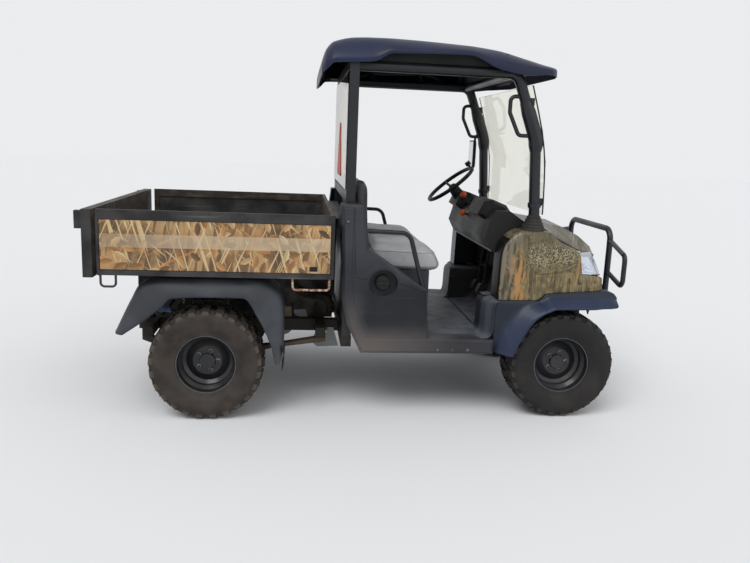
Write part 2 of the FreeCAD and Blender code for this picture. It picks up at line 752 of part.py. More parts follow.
def rim_body(name):
    """A steel wheel turned about its own axis, with a dished disc, a hub cap and its nuts."""
    body = document.addObject("PartDesign::Body", name)
    half = s.rim_width / 2
    wall = s.rim_wall
    well = s.rim_radius - s.rim_drop
    lip = s.rim_radius + s.rim_lip
    seat = half - s.rim_lip
    flange = half - 4
    disc = s.hub_face
    outside = (
        (-half, lip), (-flange, lip), (-flange, s.rim_radius), (-seat + 30, s.rim_radius), (-seat + 46, well),
        (seat - 46, well), (seat - 30, s.rim_radius), (flange, s.rim_radius), (flange, lip), (half, lip),
    )
    inside = (
        (half, s.rim_radius - 3), (seat - 28, s.rim_radius - wall), (seat - 46, well - wall), (disc - 2, well - wall),
        (disc - 14, well - wall - 19), (disc + 8, s.hub_radius + 12), (disc + 8, s.hub_cap_radius + 8),
        (disc + 22, s.hub_cap_radius + 4), (disc + 22, 0), (disc + 15, 0), (disc + 15, s.hub_cap_radius),
        (disc, s.hub_cap_radius + 2), (disc, s.hub_radius + 10), (disc - 22, well - wall - 21), (disc - 10, well - wall),
        (-seat + 46, well - wall), (-seat + 28, s.rim_radius - wall), (-half, s.rim_radius - 3),
    )
    turned(body, f"{name}_disc", outside + inside)
    return body


def wheel(end, x, spread, side, word, tread):
    """One tyre on its rim; the right-hand ones are turned so that the dish faces outwards."""
    turn = Rotation(Vector(0, 0, 1), 0 if side > 0 else 180)
    place = Placement(Vector(x, side * spread / 2, axle_z), turn)
    tyre = feature(f"tyre_{end}_{word}", tread.copy())
    tyre.Placement = place
    disc = rim_body(f"rim_disc_{end}_{word}")
    disc.Placement = place
    pieces = [disc]
    face = s.hub_face + 7
    nut_length = 22
    for index in range(int(s.nut_count)):
        angle = 2 * math.pi * index / s.nut_count
        name = f"nut_{end}_{word}_{index}"
        y = spread / 2 * side + outward(side, face, face + nut_length)[0]
        start = (x + s.nut_circle_radius * math.cos(angle), y, axle_z + s.nut_circle_radius * math.sin(angle))
        pieces.append(cylinder(name, "y", s.nut_radius, start, nut_length))
    sub_part(fuse(f"rim_{end}_{word}", pieces), f"rim_{end}_{word}")


def wheels():
    """Four tyres and four rims."""
    tread = tyre_shape()
    for end, x, spread in (("front", s.front_axle_x, s.front_track), ("rear", rear_axle_x, s.rear_track)):
        for side, word in ((-1, "right"), (1, "left")):
            wheel(end, x, spread, side, word, tread)


def rear_fender_shape(side):
    """A lofted mud guard: a top shelf, a crease, a sloping flank and a lip, along the wheel arch."""
    # Columns: x and z of the crease, x and z of the lip
    stations = (
        (-1327, 483, -1314, 476), (-1248, 650, -1212, 545), (-1195, 735, -1114, 619), (-1054, shelf_z, -1038, 681),
        (-609, shelf_z, -658, 688), (-473, 685, -569, 574), (-455, 582, -499, 427), (-455, 400, -470, 317),
    )
    wall = s.fender_wall
    outer_y = s.fender_width / 2
    crease_y = outer_y - s.fender_flare
    inner_y = s.rear_shelf_y
    sections = []
    for crease_x, crease_z, lip_x, lip_z in stations:
        down = Vector(lip_x - crease_x, 0, lip_z - crease_z).normalize() * wall
        under_x, under_z = crease_x + down.x, crease_z + down.z
        sections.append([
            (crease_x, side * inner_y, crease_z), (crease_x, side * crease_y, crease_z), (lip_x, side * outer_y, lip_z),
            (lip_x, side * (outer_y - wall), lip_z), (under_x, side * (crease_y - wall / 2), under_z), (under_x, side * inner_y, under_z),
        ])
    return loft(sections)


def front_fender_shape(side):
    """A lofted mud guard: a shelf under the cowl, a side wall down to the crease and a flare out to the lip."""
    # Columns: x and z of the shelf's edge, x and z of the lip, share of the way to the lip where the crease lies,
    # y of the shelf's inner edge
    rear_x = cover_front_x + s.seat_gap
    stations = (
        (1401, 700, 1382, 664, 0.3, 600), (1324, 738, 1306, 660, 0.3, 600), (1282, 733, 1250, 652, 0.3, 600),
        (994, 713, 1033, 648, 0.25, 600), (947, 674, 985, 632, 0.2, 600), (880, 673, 914, 588, 0.25, 650),
        (790, 672, 843, 487, 0.4, 650), (716, 671, 804, 410, 0.5, 650), (rear_x, 470, 790, 378, 0.25, 650),
        (rear_x, 380, 784, 372, 0.1, 650),
    )
    wall = s.fender_wall
    outer_y = s.fender_width / 2
    crease_y = s.front_crease_y
    sections = []
    for top_x, top_z, lip_x, lip_z, share, inner_y in stations:
        down = Vector(lip_x - top_x, 0, lip_z - top_z)
        crease_x, crease_z = top_x + down.x * share, top_z + down.z * share
        down.normalize()
        under_x, under_z = top_x + down.x * wall, top_z + down.z * wall
        sections.append([
            (top_x, side * inner_y, top_z), (top_x, side * crease_y, top_z), (crease_x, side * crease_y, crease_z),
            (lip_x, side * outer_y, lip_z), (lip_x, side * (outer_y - wall), lip_z),
            (crease_x + down.x, side * (crease_y - wall), crease_z + down.z), (under_x, side * (crease_y - wall), under_z),
            (under_x, side * inner_y, under_z),
        ])
    return loft(sections)


def fenders():
    """Both rear mud guards as one sub-part and both front ones as another."""
    feature("rear_fenders", Part.makeCompound([rear_fender_shape(side) for side in (-1, 1)]))
    feature("front_fenders", Part.makeCompound([front_fender_shape(side) for side in (-1, 1)]))


def cover_outline():
    """Outline in x and z of a cab side cover, from its top rear corner around the sill to the seat's side."""
    top = s.cover_top_z
    sill = s.sill_bottom_z
    front = cover_front_x
    return [
        (-165, top), (-174, top - 98), (-160, top - 128), (-149, 663), (-118, 531), (-40, sill), (578, sill),
        (front, sill), (front, sill + 78), (333, sill + 87), (306, 732), (146, 835), (-12, 942), (-40, 1150), (-51, top),
    ]


def side_cover_shape(side):
    """One side cover as a shell with a chamfered outer face, open inboard, notched for the rear post."""
    outer_y = s.body_width / 2
    edge_y = outer_y - s.cover_chamfer
    inner_y = cover_inner
    wall = s.body_wall
    outline = cover_outline()
    face = inset(outline, s.cover_chamfer)
    outside = loft([[(x, side * y, z) for x, z in points] for points, y in ((outline, inner_y), (outline, edge_y), (face, outer_y))])
    hollow = inset(outline, wall)
    hollow_face = inset(outline, s.cover_chamfer + 1)
    inside = loft([[(x, side * y, z) for x, z in points] for points, y in (
        (hollow, inner_y - 1), (hollow, edge_y - 1), (hollow_face, outer_y - wall))])
    return outside.cut(inside), outside


def side_covers():
    """Both cab side covers; the right one carries the fuel filler's round recess."""
    solids = []
    post = s.post_width / 2 + s.seat_gap
    for side in (-1, 1):
        shape, outside = side_cover_shape(side)
        if side < 0:
            face_y = -s.body_width / 2
            cup = rod((s.filler_x, face_y + 1, s.filler_z), (s.filler_x, face_y + s.filler_depth + s.body_wall, s.filler_z), s.filler_radius + s.body_wall)
            shape = shape.fuse(cup.common(outside))
            recess = rod((s.filler_x, face_y - 1, s.filler_z), (s.filler_x, face_y + s.filler_depth, s.filler_z), s.filler_radius)
            shape = shape.cut(recess)
        post_y = outward(side, post_inner - s.seat_gap, s.rear_post_spacing / 2 + post)
        notch = block((s.rear_post_x - post, s.rear_post_x + post), post_y, (s.sill_bottom_z, s.cover_top_z + 1))
        solids.append(shape.cut(notch))
    feature("side_covers", Part.makeCompound(solids))


def fuel_cap():
    """The screw cap in the filler's recess: a drum with a bevelled rim and a hand grip."""
    body = document.addObject("PartDesign::Body", "fuel_cap_drum")
    radius = s.filler_cap_radius
    height = s.filler_cap_height
    profile = ((0, 0), (0, radius - 5), (5, radius), (height - 6, radius), (height, radius - 6), (height, 0))
    turned(body, "fuel_cap_turned", profile)
    seat_y = -s.body_width / 2 + s.filler_depth - s.seat_gap
    body.Placement = Placement(Vector(), Rotation(Vector(0, 0, 1), 180))
    body.setExpression("Placement.Base.x", wording(s.filler_x))
    body.setExpression("Placement.Base.y", wording(seat_y))
    body.setExpression("Placement.Base.z", wording(s.filler_z))
    grip_y = (seat_y - height - 8, seat_y - height + 2)
    grip = box("fuel_cap_grip", (s.filler_x - radius * 0.7, s.filler_x + radius * 0.7), grip_y, (s.filler_z - 7, s.filler_z + 7))
    sub_part(fuse("fuel_cap", [body, grip]), "fuel_cap")


def floor_pan():
    """The pressed cab floor with its tunnel, the toe board and the heel step."""
    wall = s.body_wall
    low = rail_top + s.seat_gap
    half = cover_inner - s.seat_gap
    rear = post_front_x + s.seat_gap
    toe = s.toe_board_x
    toe_top = s.toe_top_z
    profile = [
        (rear, low), (toe - 44, low), (toe, low + 165), (toe, toe_top), (toe - wall, toe_top), (toe - wall, low + 166),
        (toe - 44 - wall, low + wall), (rear, low + wall),
    ]
    plate = slab(profile, -half, half)
    tunnel_half = s.tunnel_width / 2
    start = s.tunnel_x
    top = low + s.tunnel_height
    slope = 60
    tunnel = loft([
        [(start, -tunnel_half, low + 1), (start, tunnel_half, low + 1), (start + slope, tunnel_half - 20, top), (start + slope, -tunnel_half + 20, top)],
        [(toe - 2, -tunnel_half, low + 1), (toe - 2, tunnel_half, low + 1), (toe - 2, tunnel_half - 20, top), (toe - 2, -tunnel_half + 20, top)],
    ])
    hollow = loft([
        [(start + wall, -tunnel_half + wall, low - 1), (start + wall, tunnel_half - wall, low - 1), (start + slope + wall, tunnel_half - 20 - wall, top - wall), (start + slope + wall, -tunnel_half + 20 + wall, top - wall)],
        [(toe + 4, -tunnel_half + wall, low - 1), (toe + 4, tunnel_half - wall, low - 1), (toe + 4, tunnel_half - 20 - wall, top - wall), (toe + 4, -tunnel_half + 20 + wall, top - wall)],
    ])
    wheel_well = [block((toe - 62, toe + 1), outward(side, half - 112, half + 1), (low - 1, front_foot_z - 80)) for side in (-1, 1)]
    well_wall = [block((toe - 66, toe - 62 + 0.5), outward(side, half - 116, half), (low, front_foot_z - 76)) for side in (-1, 1)]
    well_roof = [block((toe - 66, toe), outward(side, half - 116, half), (front_foot_z - 80, front_foot_z - 76)) for side in (-1, 1)]
    well_side = [block((toe - 66, toe), outward(side, half - 116, half - 112), (low, front_foot_z - 76)) for side in (-1, 1)]
    for side in (-1, 1):
        corner = block((toe - 10, toe + 1), outward(side, cowl_inner - s.seat_gap, half + 1), (s.cowl_foot_z, toe_top + 1))
        plate = plate.cut(corner)
    shape = plate.fuse(tunnel).cut(hollow).cut(wheel_well[0]).cut(wheel_well[1])
    feature("floor_pan", shape.fuse(well_wall + well_roof + well_side).removeSplitter())


def seat_base():
    """The steel box under the bench seat, open behind, with a recessed front panel."""
    wall = s.body_wall
    front = s.seat_front_x - s.seat_overhang
    rear = front - s.seat_box_length
    half = seat_half - 20
    top = s.seat_bottom_z - s.seat_gap
    low = floor_top + s.seat_gap
    shape = block((rear, front), (-half, half), (low, top))
    shape = shape.cut(block((rear - 1, front - wall), (-half + wall, half - wall), (low - 1, top - wall)))
    arch = block((front - wall - 1, front + 1), (-tunnel_clear, tunnel_clear), (low - 1, low + s.tunnel_height))
    feature("seat_base", shape.cut(arch))


def seats():
    """The bench cushion and its backrest as plain closed forms with bevelled edges."""
    front = s.seat_front_x
    low = s.seat_bottom_z
    half = seat_half
    cushion = [
        (-10, low), (front - 16, low), (front, low + 32), (front - 16, low + 97), (front - 66, low + 127),
        (150, low + s.seat_thickness - 4), (30, low + s.seat_thickness + 4), (-10, low + s.seat_thickness - 6),
    ]
    inner = inset(cushion, s.seat_round / 2)
    sections = ((inner, -half), (cushion, -half + s.seat_round), (cushion, half - s.seat_round), (inner, half))
    lifted = [[(x, y, max(z, low)) for x, z in points] for points, y in sections]
    feature("seat_cushion", loft(lifted))
    rear = post_front_x + s.seat_gap
    top = s.backrest_top_z
    back = [
        (rear + 12, 962), (rear + s.backrest_thickness + 8, 962), (rear + s.backrest_thickness - 4, top - 40),
        (rear + s.backrest_thickness - 18, top - 6), (rear + 24, top), (rear, top - 22), (rear, 1120),
    ]
    inner = inset(back, s.seat_round / 2)
    sections = ((inner, -half), (back, -half + s.seat_round), (back, half - s.seat_round), (inner, half))
    feature("seat_back", loft([[(x, y, z) for x, z in points] for points, y in sections]))


def bulkhead():
    """The sheet wall behind the seat with the shelf over the engine."""
    half = post_inner - s.seat_gap
    wall_x = (s.rear_post_x - 9, s.rear_post_x - 9 + s.body_wall)
    top = s.bulkhead_top_z
    wall = box("bulkhead_wall", wall_x, (-half, half), (rail_top + s.seat_gap, top))
    shelf = box("bulkhead_shelf", (wall_x[0] - 60, wall_x[0] + 1), (-half, half), (top - s.body_wall, top))
    sub_part(fuse("bulkhead", [wall, shelf]), "bulkhead")


def rear_hoop():
    """The square-tube hoop behind the seat, standing on the rear cab cross member."""
    pieces = []
    depth = (post_rear_x, post_front_x)
    reach = s.rear_post_spacing / 2 + s.post_width / 2
    for side, word in ((-1, "right"), (1, "left")):
        post_y = outward(side, post_inner, reach)
        pieces.append(box(f"rear_post_{word}", depth, post_y, (rail_top + s.seat_gap, s.hoop_top_z)))
    pieces.append(box("rear_hoop_top", depth, (-reach, reach), (s.hoop_top_z - s.post_width, s.hoop_top_z)))
    middle = (s.hoop_bar_top_z - s.post_width, s.hoop_bar_top_z)
    pieces.append(box("rear_hoop_middle", depth, (-post_inner - 1, post_inner + 1), middle))
    sub_part(fuse("rear_hoop", pieces), "rear_hoop")


def front_post_path(side):
    """Corners of a front post: back along the roof's side, down the raked pillar and into the cowl."""
    y = side * s.front_post_spacing / 2
    foot = s.front_post_foot_x
    rail_z = s.side_rail_z
    return [
        (post_front_x + s.seat_gap, y, rail_z), (762, y, rail_z), (888, y, 1560), (foot, y, 1150), (foot, y, s.front_post_foot_z),
    ]


def glass_outline():
    """Outline in x and z of the bowed windshield, its front face and then its back face."""
    thick = s.glass_thickness
    front = [(953, 1145), (953, 1200), (944, 1434), (914, 1599), (842, 1836)]
    return front + [(x + thick, z) for x, z in reversed(front)]


def glass_x(z):
    """The x of the windshield's cab side at a height."""
    face = glass_outline()[:5]
    for (low_x, low_z), (high_x, high_z) in zip(face, face[1:]):
        if z <= high_z:
            return low_x + (high_x - low_x) * (z - low_z) / (high_z - low_z)
    return face[-1][0]


def front_hoop():
    """The round-tube hoop: side rails, raked posts, a cross tube at the roof and four glass clamps."""
    bend = 70
    radius = s.front_post_radius
    half = s.front_post_spacing / 2
    shapes = [bar(front_post_path(side), radius, bend) for side in (-1, 1)]
    cross_x = 745
    shapes.append(rod((cross_x, -half, s.side_rail_z), (cross_x, half, s.side_rail_z), radius - 5))
    for side in (-1, 1):
        for post_x, z in ((905, 1215), (818, 1750)):
            clamp_x = (post_x, glass_x(z + 20) - s.seat_gap)
            shapes.append(block(clamp_x, (side * half - 16, side * half + 16), (z - 20, z + 20)))
    feature("front_hoop", shapes[0].fuse(shapes[1:]))


def screens():
    """The clear windshield, the clear rear screen and the triangular sign behind it."""
    half = s.front_post_spacing / 2 + 20
    feature("windshield", slab(glass_outline(), -half, half))
    screen_x = (post_rear_x - s.seat_gap - s.glass_thickness, post_rear_x - s.seat_gap)
    reach = s.rear_post_spacing / 2 + 15
    sub_part(box("rear_screen", screen_x, (-reach, reach), (s.screen_bottom_z, s.screen_top_z)), "rear_screen")
    back = screen_x[0] - s.seat_gap
    base = s.sign_width / 2
    low, top = s.sign_bottom_z, s.sign_bottom_z + s.sign_height
    tip = 22
    corners = [(-base, low + tip), (-base + tip, low), (base - tip, low), (base, low + tip), (tip, top), (-tip, top)]
    plate = Part.Face(polygon([(back, y, z) for y, z in corners])).extrude(Vector(-s.sign_thickness, 0, 0))
    feature("slow_sign", plate)


def roof_section(x, half, edge_z, shoulder, top_z, drop, wall):
    """A closed section of the canopy in y and z; a positive wall gives its inside."""
    half = half - wall
    low = edge_z - drop - (1 if wall else 0)
    edge = edge_z - wall * 0.6
    top = top_z - wall
    crown = s.roof_crown
    right = [(half, low), (half, edge), (half - shoulder * 0.45, edge + (top - edge) * 0.72), (half - shoulder, top), (half * 0.4, top + crown)]
    return [(x, -y, z) for y, z in right] + [(x, y, z) for y, z in reversed(right)]


def roof_panel():
    """The moulded canopy: a lofted shell with drooping edges and ribs that sit on the hoop's side rails."""
    # Columns: x, half width, height of the side edge, width of the shoulder, height of the top, drop of the skirt
    stations = (
        (-284, 560, 1886, 70, 1900, 42), (-258, 622, 1908, 110, 1985, 139), (-221, 640, 1916, 130, 2012, 22),
        (-108, 648, 1930, 150, 2040, 30), (-16, 650, 1935, 150, 2048, 30), (59, 650, 1975, 150, 2050, 22),
        (476, 650, 1985, 150, 2036, 20), (640, 650, 1935, 145, 2022, 36), (803, 640, 1915, 130, 1980, 39),
        (943, 615, 1912, 110, 1944, 18), (1015, 600, 1905, 95, 1928, 12),
    )
    outer = [roof_section(*station, 0) for station in stations]
    inner = [roof_section(*station, s.roof_wall) for station in stations]
    inner[0] = [(x + s.roof_wall, y, z) for x, y, z in inner[0]]
    inner[-1] = [(x - s.roof_wall, y, z) for x, y, z in inner[-1]]
    solid = loft(outer)
    shape = solid.cut(loft(inner))
    half = s.front_post_spacing / 2
    rail_top_z = s.side_rail_z + s.front_post_radius
    ribs = []
    for side in (-1, 1):
        for x in (90, 420, 690):
            rib = block((x - 20, x + 20), (side * half - 12, side * half + 12), (rail_top_z + s.seat_gap, s.roof_top_z + 40))
            ribs.append(rib.common(solid))
    for y in (-340, 0, 340):
        height = (s.hoop_top_z + s.seat_gap, s.roof_top_z + 40)
        rib = block((s.rear_post_x - 18, s.rear_post_x + 18), (y - 30, y + 30), height)
        ribs.append(rib.common(solid))
    feature("roof_panel", shape.fuse(ribs))


def hip_bars():
    """A round bar each side that keeps the rider in, between two points of the side cover."""
    solids = []
    grown = inset(cover_outline(), -s.seat_gap)
    for side in (-1, 1):
        y = side * (s.body_width / 2 - s.hip_bar_inset)
        path = [(-45, y, 1040), (205, y, 1033), (290, y, 735)]
        solid = bar(path, s.hip_bar_radius, 60)
        cover = slab(grown, *outward(side, cover_inner, s.body_width / 2 + 1))
        solids.append(solid.cut(cover))
    feature("hip_bars", Part.makeCompound(solids))


def grab_handles():
    """A bent handle on the cab side of each front post."""
    solids = []
    for side in (-1, 1):
        y = side * s.front_post_spacing / 2
        path = [(806, y, 1775), (733, y, 1775), (733, y, 1690), (790, y, 1570), (884, y, 1570)]
        post = bar(front_post_path(side), s.front_post_radius + s.seat_gap, 70)
        solids.append(bar(path, s.handle_radius, 28).cut(post))
    feature("grab_handles", Part.makeCompound(solids))


def mirror():
    """The outside mirror on its arm, on the left front post."""
    half = s.front_post_spacing / 2
    arm = rod((862, half, 1640), (850, half + 90, 1560), s.mirror_arm_radius)
    post = bar(front_post_path(1), s.front_post_radius + s.seat_gap, 70)
    middle = half + 90
    head = loft([
        [(x, middle - 62 + edge, 1355 + edge), (x, middle + 62 - edge, 1355 + edge), (x, middle + 62 - edge, 1545 - edge), (x, middle - 62 + edge, 1545 - edge)]
        for x, edge in ((826, 0), (842, 0), (852, 22))])
    stem = rod((850, half + 90, 1561), (842, half + 90, 1500), s.mirror_arm_radius)
    feature("mirror", arm.cut(post).fuse([stem, head]))


def post_boots():
    """A ribbed rubber bellows round the foot of each front post."""
    solids = []
    step = s.boot_height / s.boot_steps
    for side in (-1, 1):
        y = side * s.front_post_spacing / 2
        x = s.front_post_foot_x
        low = s.cowl_top_z + s.seat_gap
        folds = []
        for index in range(int(s.boot_steps)):
            radius = s.boot_radius - index * 7
            z = low + index * step
            folds.append(Part.makeCone(radius, radius - 3, step * 0.6, Vector(x, y, z)))
            folds.append(Part.makeCone(radius - 8, radius - 9, step * 0.4 + 0.5, Vector(x, y, z + step * 0.6 - 0.2)))
        bore = rod((x, y, low - 1), (x, y, low + s.boot_height + 10), s.front_post_radius + s.seat_gap)
        solids.append(folds[0].fuse(folds[1:]).cut(bore))
    feature("post_boots", Part.makeCompound(solids))


def boot_clearance():
    """Room for the posts and their boots: to be cut from the dash and the cowl."""
    tools = []
    x = s.front_post_foot_x
    for side in (-1, 1):
        y = side * s.front_post_spacing / 2
        tools.append(rod((x, y, front_foot_z - 10), (x, y, s.cowl_top_z + 1), s.front_post_radius + s.swing_gap))
        tools.append(rod((x, y, s.cowl_top_z), (x, y, s.cowl_top_z + 80), s.boot_radius + s.swing_gap))
    return tools


def dash_panel():
    """The dash across the cab: an arched pod, a lower tray and the shelf that the hood's rear edge meets."""
    half = cowl_inner - s.seat_gap
    shelf_x = s.hood_rear_x - s.seat_gap
    shelf_z = s.hood_rear_z
    tray = [
        (690, 1110), (722, 1150), (800, 1150), (860, 1110), (shelf_x, shelf_z), (shelf_x, shelf_z - 40), (890, 1020),
        (880, 900), (770, 880), (736, 905), (690, 940), (660, 1000),
    ]
    shape = slab(tray, -half, half)
    pod = [(640, 1120), (676, 1196), (729, 1205), (808, 1175), (850, 1118), (850, 1080), (700, 1080)]
    pod_ends = inset(pod, 16)
    for middle, reach in ((s.steering_wheel_y, 135), (-250, 150)):
        sections = [(pod_ends, middle - reach), (pod, middle - reach + 26), (pod, middle + reach - 26), (pod_ends, middle + reach)]
        arch = loft([[(x, y, z) for x, z in points] for points, y in sections])
        shape = shape.fuse(arch)
    for tool in boot_clearance():
        shape = shape.cut(tool)
    return shape


def steering_axis(distance):
    """A point on the steering column's line at a distance above the wheel's middle."""
    tilt = math.radians(s.steering_wheel_tilt)
    return Vector(
        s.steering_wheel_x - distance * math.sin(tilt), s.steering_wheel_y, s.steering_wheel_z + distance * math.cos(tilt),
    )


def steering():
    """The dash, the steering column out of it and the three-spoked steering wheel on its hub."""
    hub_low = -60
    column_low, column_high = steering_axis(-230), steering_axis(hub_low - s.seat_gap)
    column = rod(column_low, column_high, s.column_radius)
    shroud = Part.makeCone(s.column_radius + 22, s.column_radius + 8, 110, steering_axis(-200), steering_axis(1) - steering_axis(0))
    dash = dash_panel()
    feature("dash_panel", dash)
    grown = dash_panel_grown(dash)
    feature("steering_column", column.fuse(shroud).cut(grown))
    tilt = Rotation(Vector(0, 1, 0), -s.steering_wheel_tilt)
    place = Placement(steering_axis(0), tilt)
    middle = s.steering_wheel_radius
    corner = s.steering_rim_radius
    ring_points = []
    for index in range(WHEEL_RIM_SIDES):
        angle = 2 * math.pi * index / WHEEL_RIM_SIDES
        ring_points.append((middle + corner * math.cos(angle), 0, corner * math.sin(angle)))
    ring_face = Part.Face(polygon(ring_points))
    shape = ring_face.revolve(Vector(), Vector(0, 0, 1), 360)
    pieces = [Part.makeCylinder(s.steering_hub_radius, 36, Vector(0, 0, hub_low)), Part.makeCone(s.steering_hub_radius, 18, 16, Vector(0, 0, hub_low + 36))]
    for index in range(3):
        angle = math.radians(90 + 120 * index)
        direction = Vector(math.cos(angle), math.sin(angle), 0)
        start = direction * 12 + Vector(0, 0, hub_low + 26)
        end = direction * middle
        pieces.append(rod(start, end, s.spoke_radius))
    knob = Part.makeCylinder(6, 30, Vector(middle, 0, 0)).fuse(Part.makeCylinder(18, 26, Vector(middle, 0, 26)))
    shape = shape.fuse(pieces + [knob])
    shape.Placement = place
    feature("steering_wheel", shape)


def dash_panel_grown(dash):
    """The dash with a seat gap around the column's way in."""
    shifted = [dash]
    for x, z in ((-s.seat_gap, 0), (-s.seat_gap, s.seat_gap), (0, s.seat_gap)):
        copy = dash.copy()
        copy.translate(Vector(x, 0, z))
        shifted.append(copy)
    return shifted[0].fuse(shifted[1:])


def controls():
    """Two hand levers with round knobs on the dash, and the pedals on the toe board."""
    levers = []
    # Columns: y of the lever, x and z of its knob, x and z of its foot
    for y, knob_x, knob_z, foot_x, foot_z in ((130, 668, 1196, 735, 1100), (60, 655, 1085, 720, 1060)):
        foot, knob = Vector(foot_x, y, foot_z), Vector(knob_x, y, knob_z)
        levers.append(rod(foot, knob, 6).fuse(Part.makeSphere(20, knob, foot - knob)))
    dash = dash_panel_grown(next(part for part in sub_parts if part.Label == "dash_panel").Shape)
    feature("hand_levers", Part.makeCompound([lever.cut(dash) for lever in levers]))
    pedals = []
    face = s.toe_board_x - s.body_wall - s.seat_gap
    for y in (200, 330):
        arm = rod((face, y, 760), (face - 70, y, 640), 7)
        flush = block((face, face + 60), (y - 40, y + 40), (600, 800))
        pad_points = [(face - 96, 600), (face - 88, 594), (face - 52, 662), (face - 60, 668)]
        pedals.append(arm.cut(flush).fuse(slab(pad_points, y - 32, y + 32)))
    feature("pedals", Part.makeCompound(pedals))


def cowl_outline():
    """Outline in x and z of the front side panel, from its rear foot over the front mud guard."""
    lift = s.seat_gap
    return [
        (716, s.cowl_foot_z + lift), (947, s.cowl_foot_z + 3 + lift), (994, 713 + lift), (1282, 733 + lift), (1322, 738 + lift), (1318, 808), (1200, 818),
        (1180, 950), (1048, 1003), (1010, s.cowl_top_z - 4), (846, s.cowl_top_z), (812, 1076), (745, 1004), (722, 950),
    ]


def cowl():
    """Both front side panels as lofted shells, with rounded outer edges, a lamp ledge and holes for the posts."""
    wall = s.body_wall
    outer_y = s.cowl_width / 2
    outline = cowl_outline()
    # The outer face leans in above the mud guard: its upper corners move down and its edge is rounded
    face = inset(outline, s.cowl_round)
    face[0:5] = [(x, z) for x, z in zip([p[0] for p in face[0:5]], [p[1] for p in outline[0:5]])]
    hollow = inset(outline, wall)
    hollow_face = inset(outline, s.cowl_round + 1)
    solids = []
    for side in (-1, 1):
        outer = [(outline, cowl_inner), (outline, outer_y - s.cowl_shoulder), (face, outer_y)]
        inner = [(hollow, cowl_inner - 1), (hollow, outer_y - s.cowl_shoulder - 1), (hollow_face, outer_y - wall)]
        outside = loft([[(x, side * y, z) for x, z in points] for points, y in outer])
        inside = loft([[(x, side * y, z) for x, z in points] for points, y in inner])
        shape = outside.cut(inside)
        for tool in boot_clearance():
            shape = shape.cut(tool)
        solids.append(shape)
    feature("cowl", Part.makeCompound(solids))


def hood():
    """The crowned hood sheet between the side panels, hinged at its rear edge."""
    rear_x, rear_z = s.hood_rear_x, s.hood_rear_z
    half = s.hood_width / 2
    crown = s.hood_crown
    # Columns: y, then x and z of each point of the top line from the rear edge to the nose
    lines = (
        (0, ((rear_x, rear_z + 6), (1050, 1060 + crown), (1180, 1040 + crown), (1290, 990 + crown), (1372, 924 + crown), (1402, 880))),
        (half * 0.6, ((rear_x, rear_z + 2), (1050, 1074), (1180, 1052), (1288, 1000), (1368, 936), (1399, 878))),
        (half, ((rear_x, rear_z - 12), (1012, 1057), (1100, 1000), (1186, 958), (1262, 926), (1312, 921))),
    )
    sections = []
    for y, points in [(-y, points) for y, points in lines[:0:-1]] + list(lines):
        under = []
        for index, (x, z) in enumerate(points):
            steep = 1.7 if index >= len(points) - 2 else 1
            under.append((x - s.body_wall * (steep - 1), z - s.body_wall * steep))
        sections.append([(x, y, z) for x, z in list(points) + under[::-1]])
    feature("hood", loft(sections))


def ledge_z(x):
    """The lamp's seat on the side panel's front ledge at an x behind the lamp's middle."""
    (front_x, front_z), (rear_x, rear_z) = cowl_outline()[5:7]
    return rear_z + (front_z - rear_z) * (x - rear_x) / (front_x - rear_x) + s.seat_gap


def grille():
    """The nose skin below the hood: curved in plan, with louvre slots and holes for the guard's stays."""
    half = s.hood_width / 2
    back = s.nose_x
    wall = s.body_wall
    sections = []
    for y, shift in ((-half, -58), (-half * 0.64, 0), (half * 0.64, 0), (half, -58)):
        x = back + shift
        sections.append([
            (x - 14, y, s.nose_bottom_z), (x, y, s.nose_bottom_z + 60), (x, y, s.nose_top_z),
            (x + wall, y, s.nose_top_z), (x + wall, y, s.nose_bottom_z + 60), (x - 14 + wall, y, s.nose_bottom_z),
        ])
    shape = loft(sections)
    pitch = 18
    for index in range(int(s.slat_count)):
        low = s.nose_top_z - 104 - index * pitch
        for y in (-190, 0, 190):
            shape = shape.cut(block((back - 2, back + wall + 2), (y - 85, y + 85), (low, low + 9)))
    lamp_y = s.cowl_width / 2 - s.lamp_gap - s.lamp_width
    for side in (-1, 1):
        corner = block((back - 90, back + 20), outward(side, lamp_y - 8, half + 1), (ledge_z(back - 70), s.nose_top_z + 1))
        shape = shape.cut(corner)
        y = side * s.rail_spacing / 2
        hole_z = (s.guard_stay_z - s.guard_stay_height / 2 - 3, s.guard_stay_z + s.guard_stay_height / 2 + 3)
        shape = shape.cut(block((back - 20, back + 20), (y - 18, y + 18), hole_z))
    feature("grille", shape)


def headlights():
    """A sloped clear lamp block at each front corner, on the side panel's ledge."""
    solids = []
    outer_y = s.cowl_width / 2 - s.lamp_gap
    # Columns: distance in from the outer end, x of the rear face, of the upper and of the lower front edge, top
    stations = ((s.lamp_width, 1250, 1296, 1334, 905), (s.lamp_width * 0.4, 1250, 1296, 1340, 905), (0, 1240, 1270, 1304, 890))
    for side in (-1, 1):
        sections = []
        for inwards, rear_x, top_x, low_x, top_z in stations:
            y = side * (outer_y - inwards)
            sections.append([(rear_x, y, ledge_z(rear_x)), (rear_x, y, top_z), (top_x, y, top_z), (low_x, y, ledge_z(rear_x))])
        solids.append(loft(sections))
    feature("headlights", Part.makeCompound(solids))


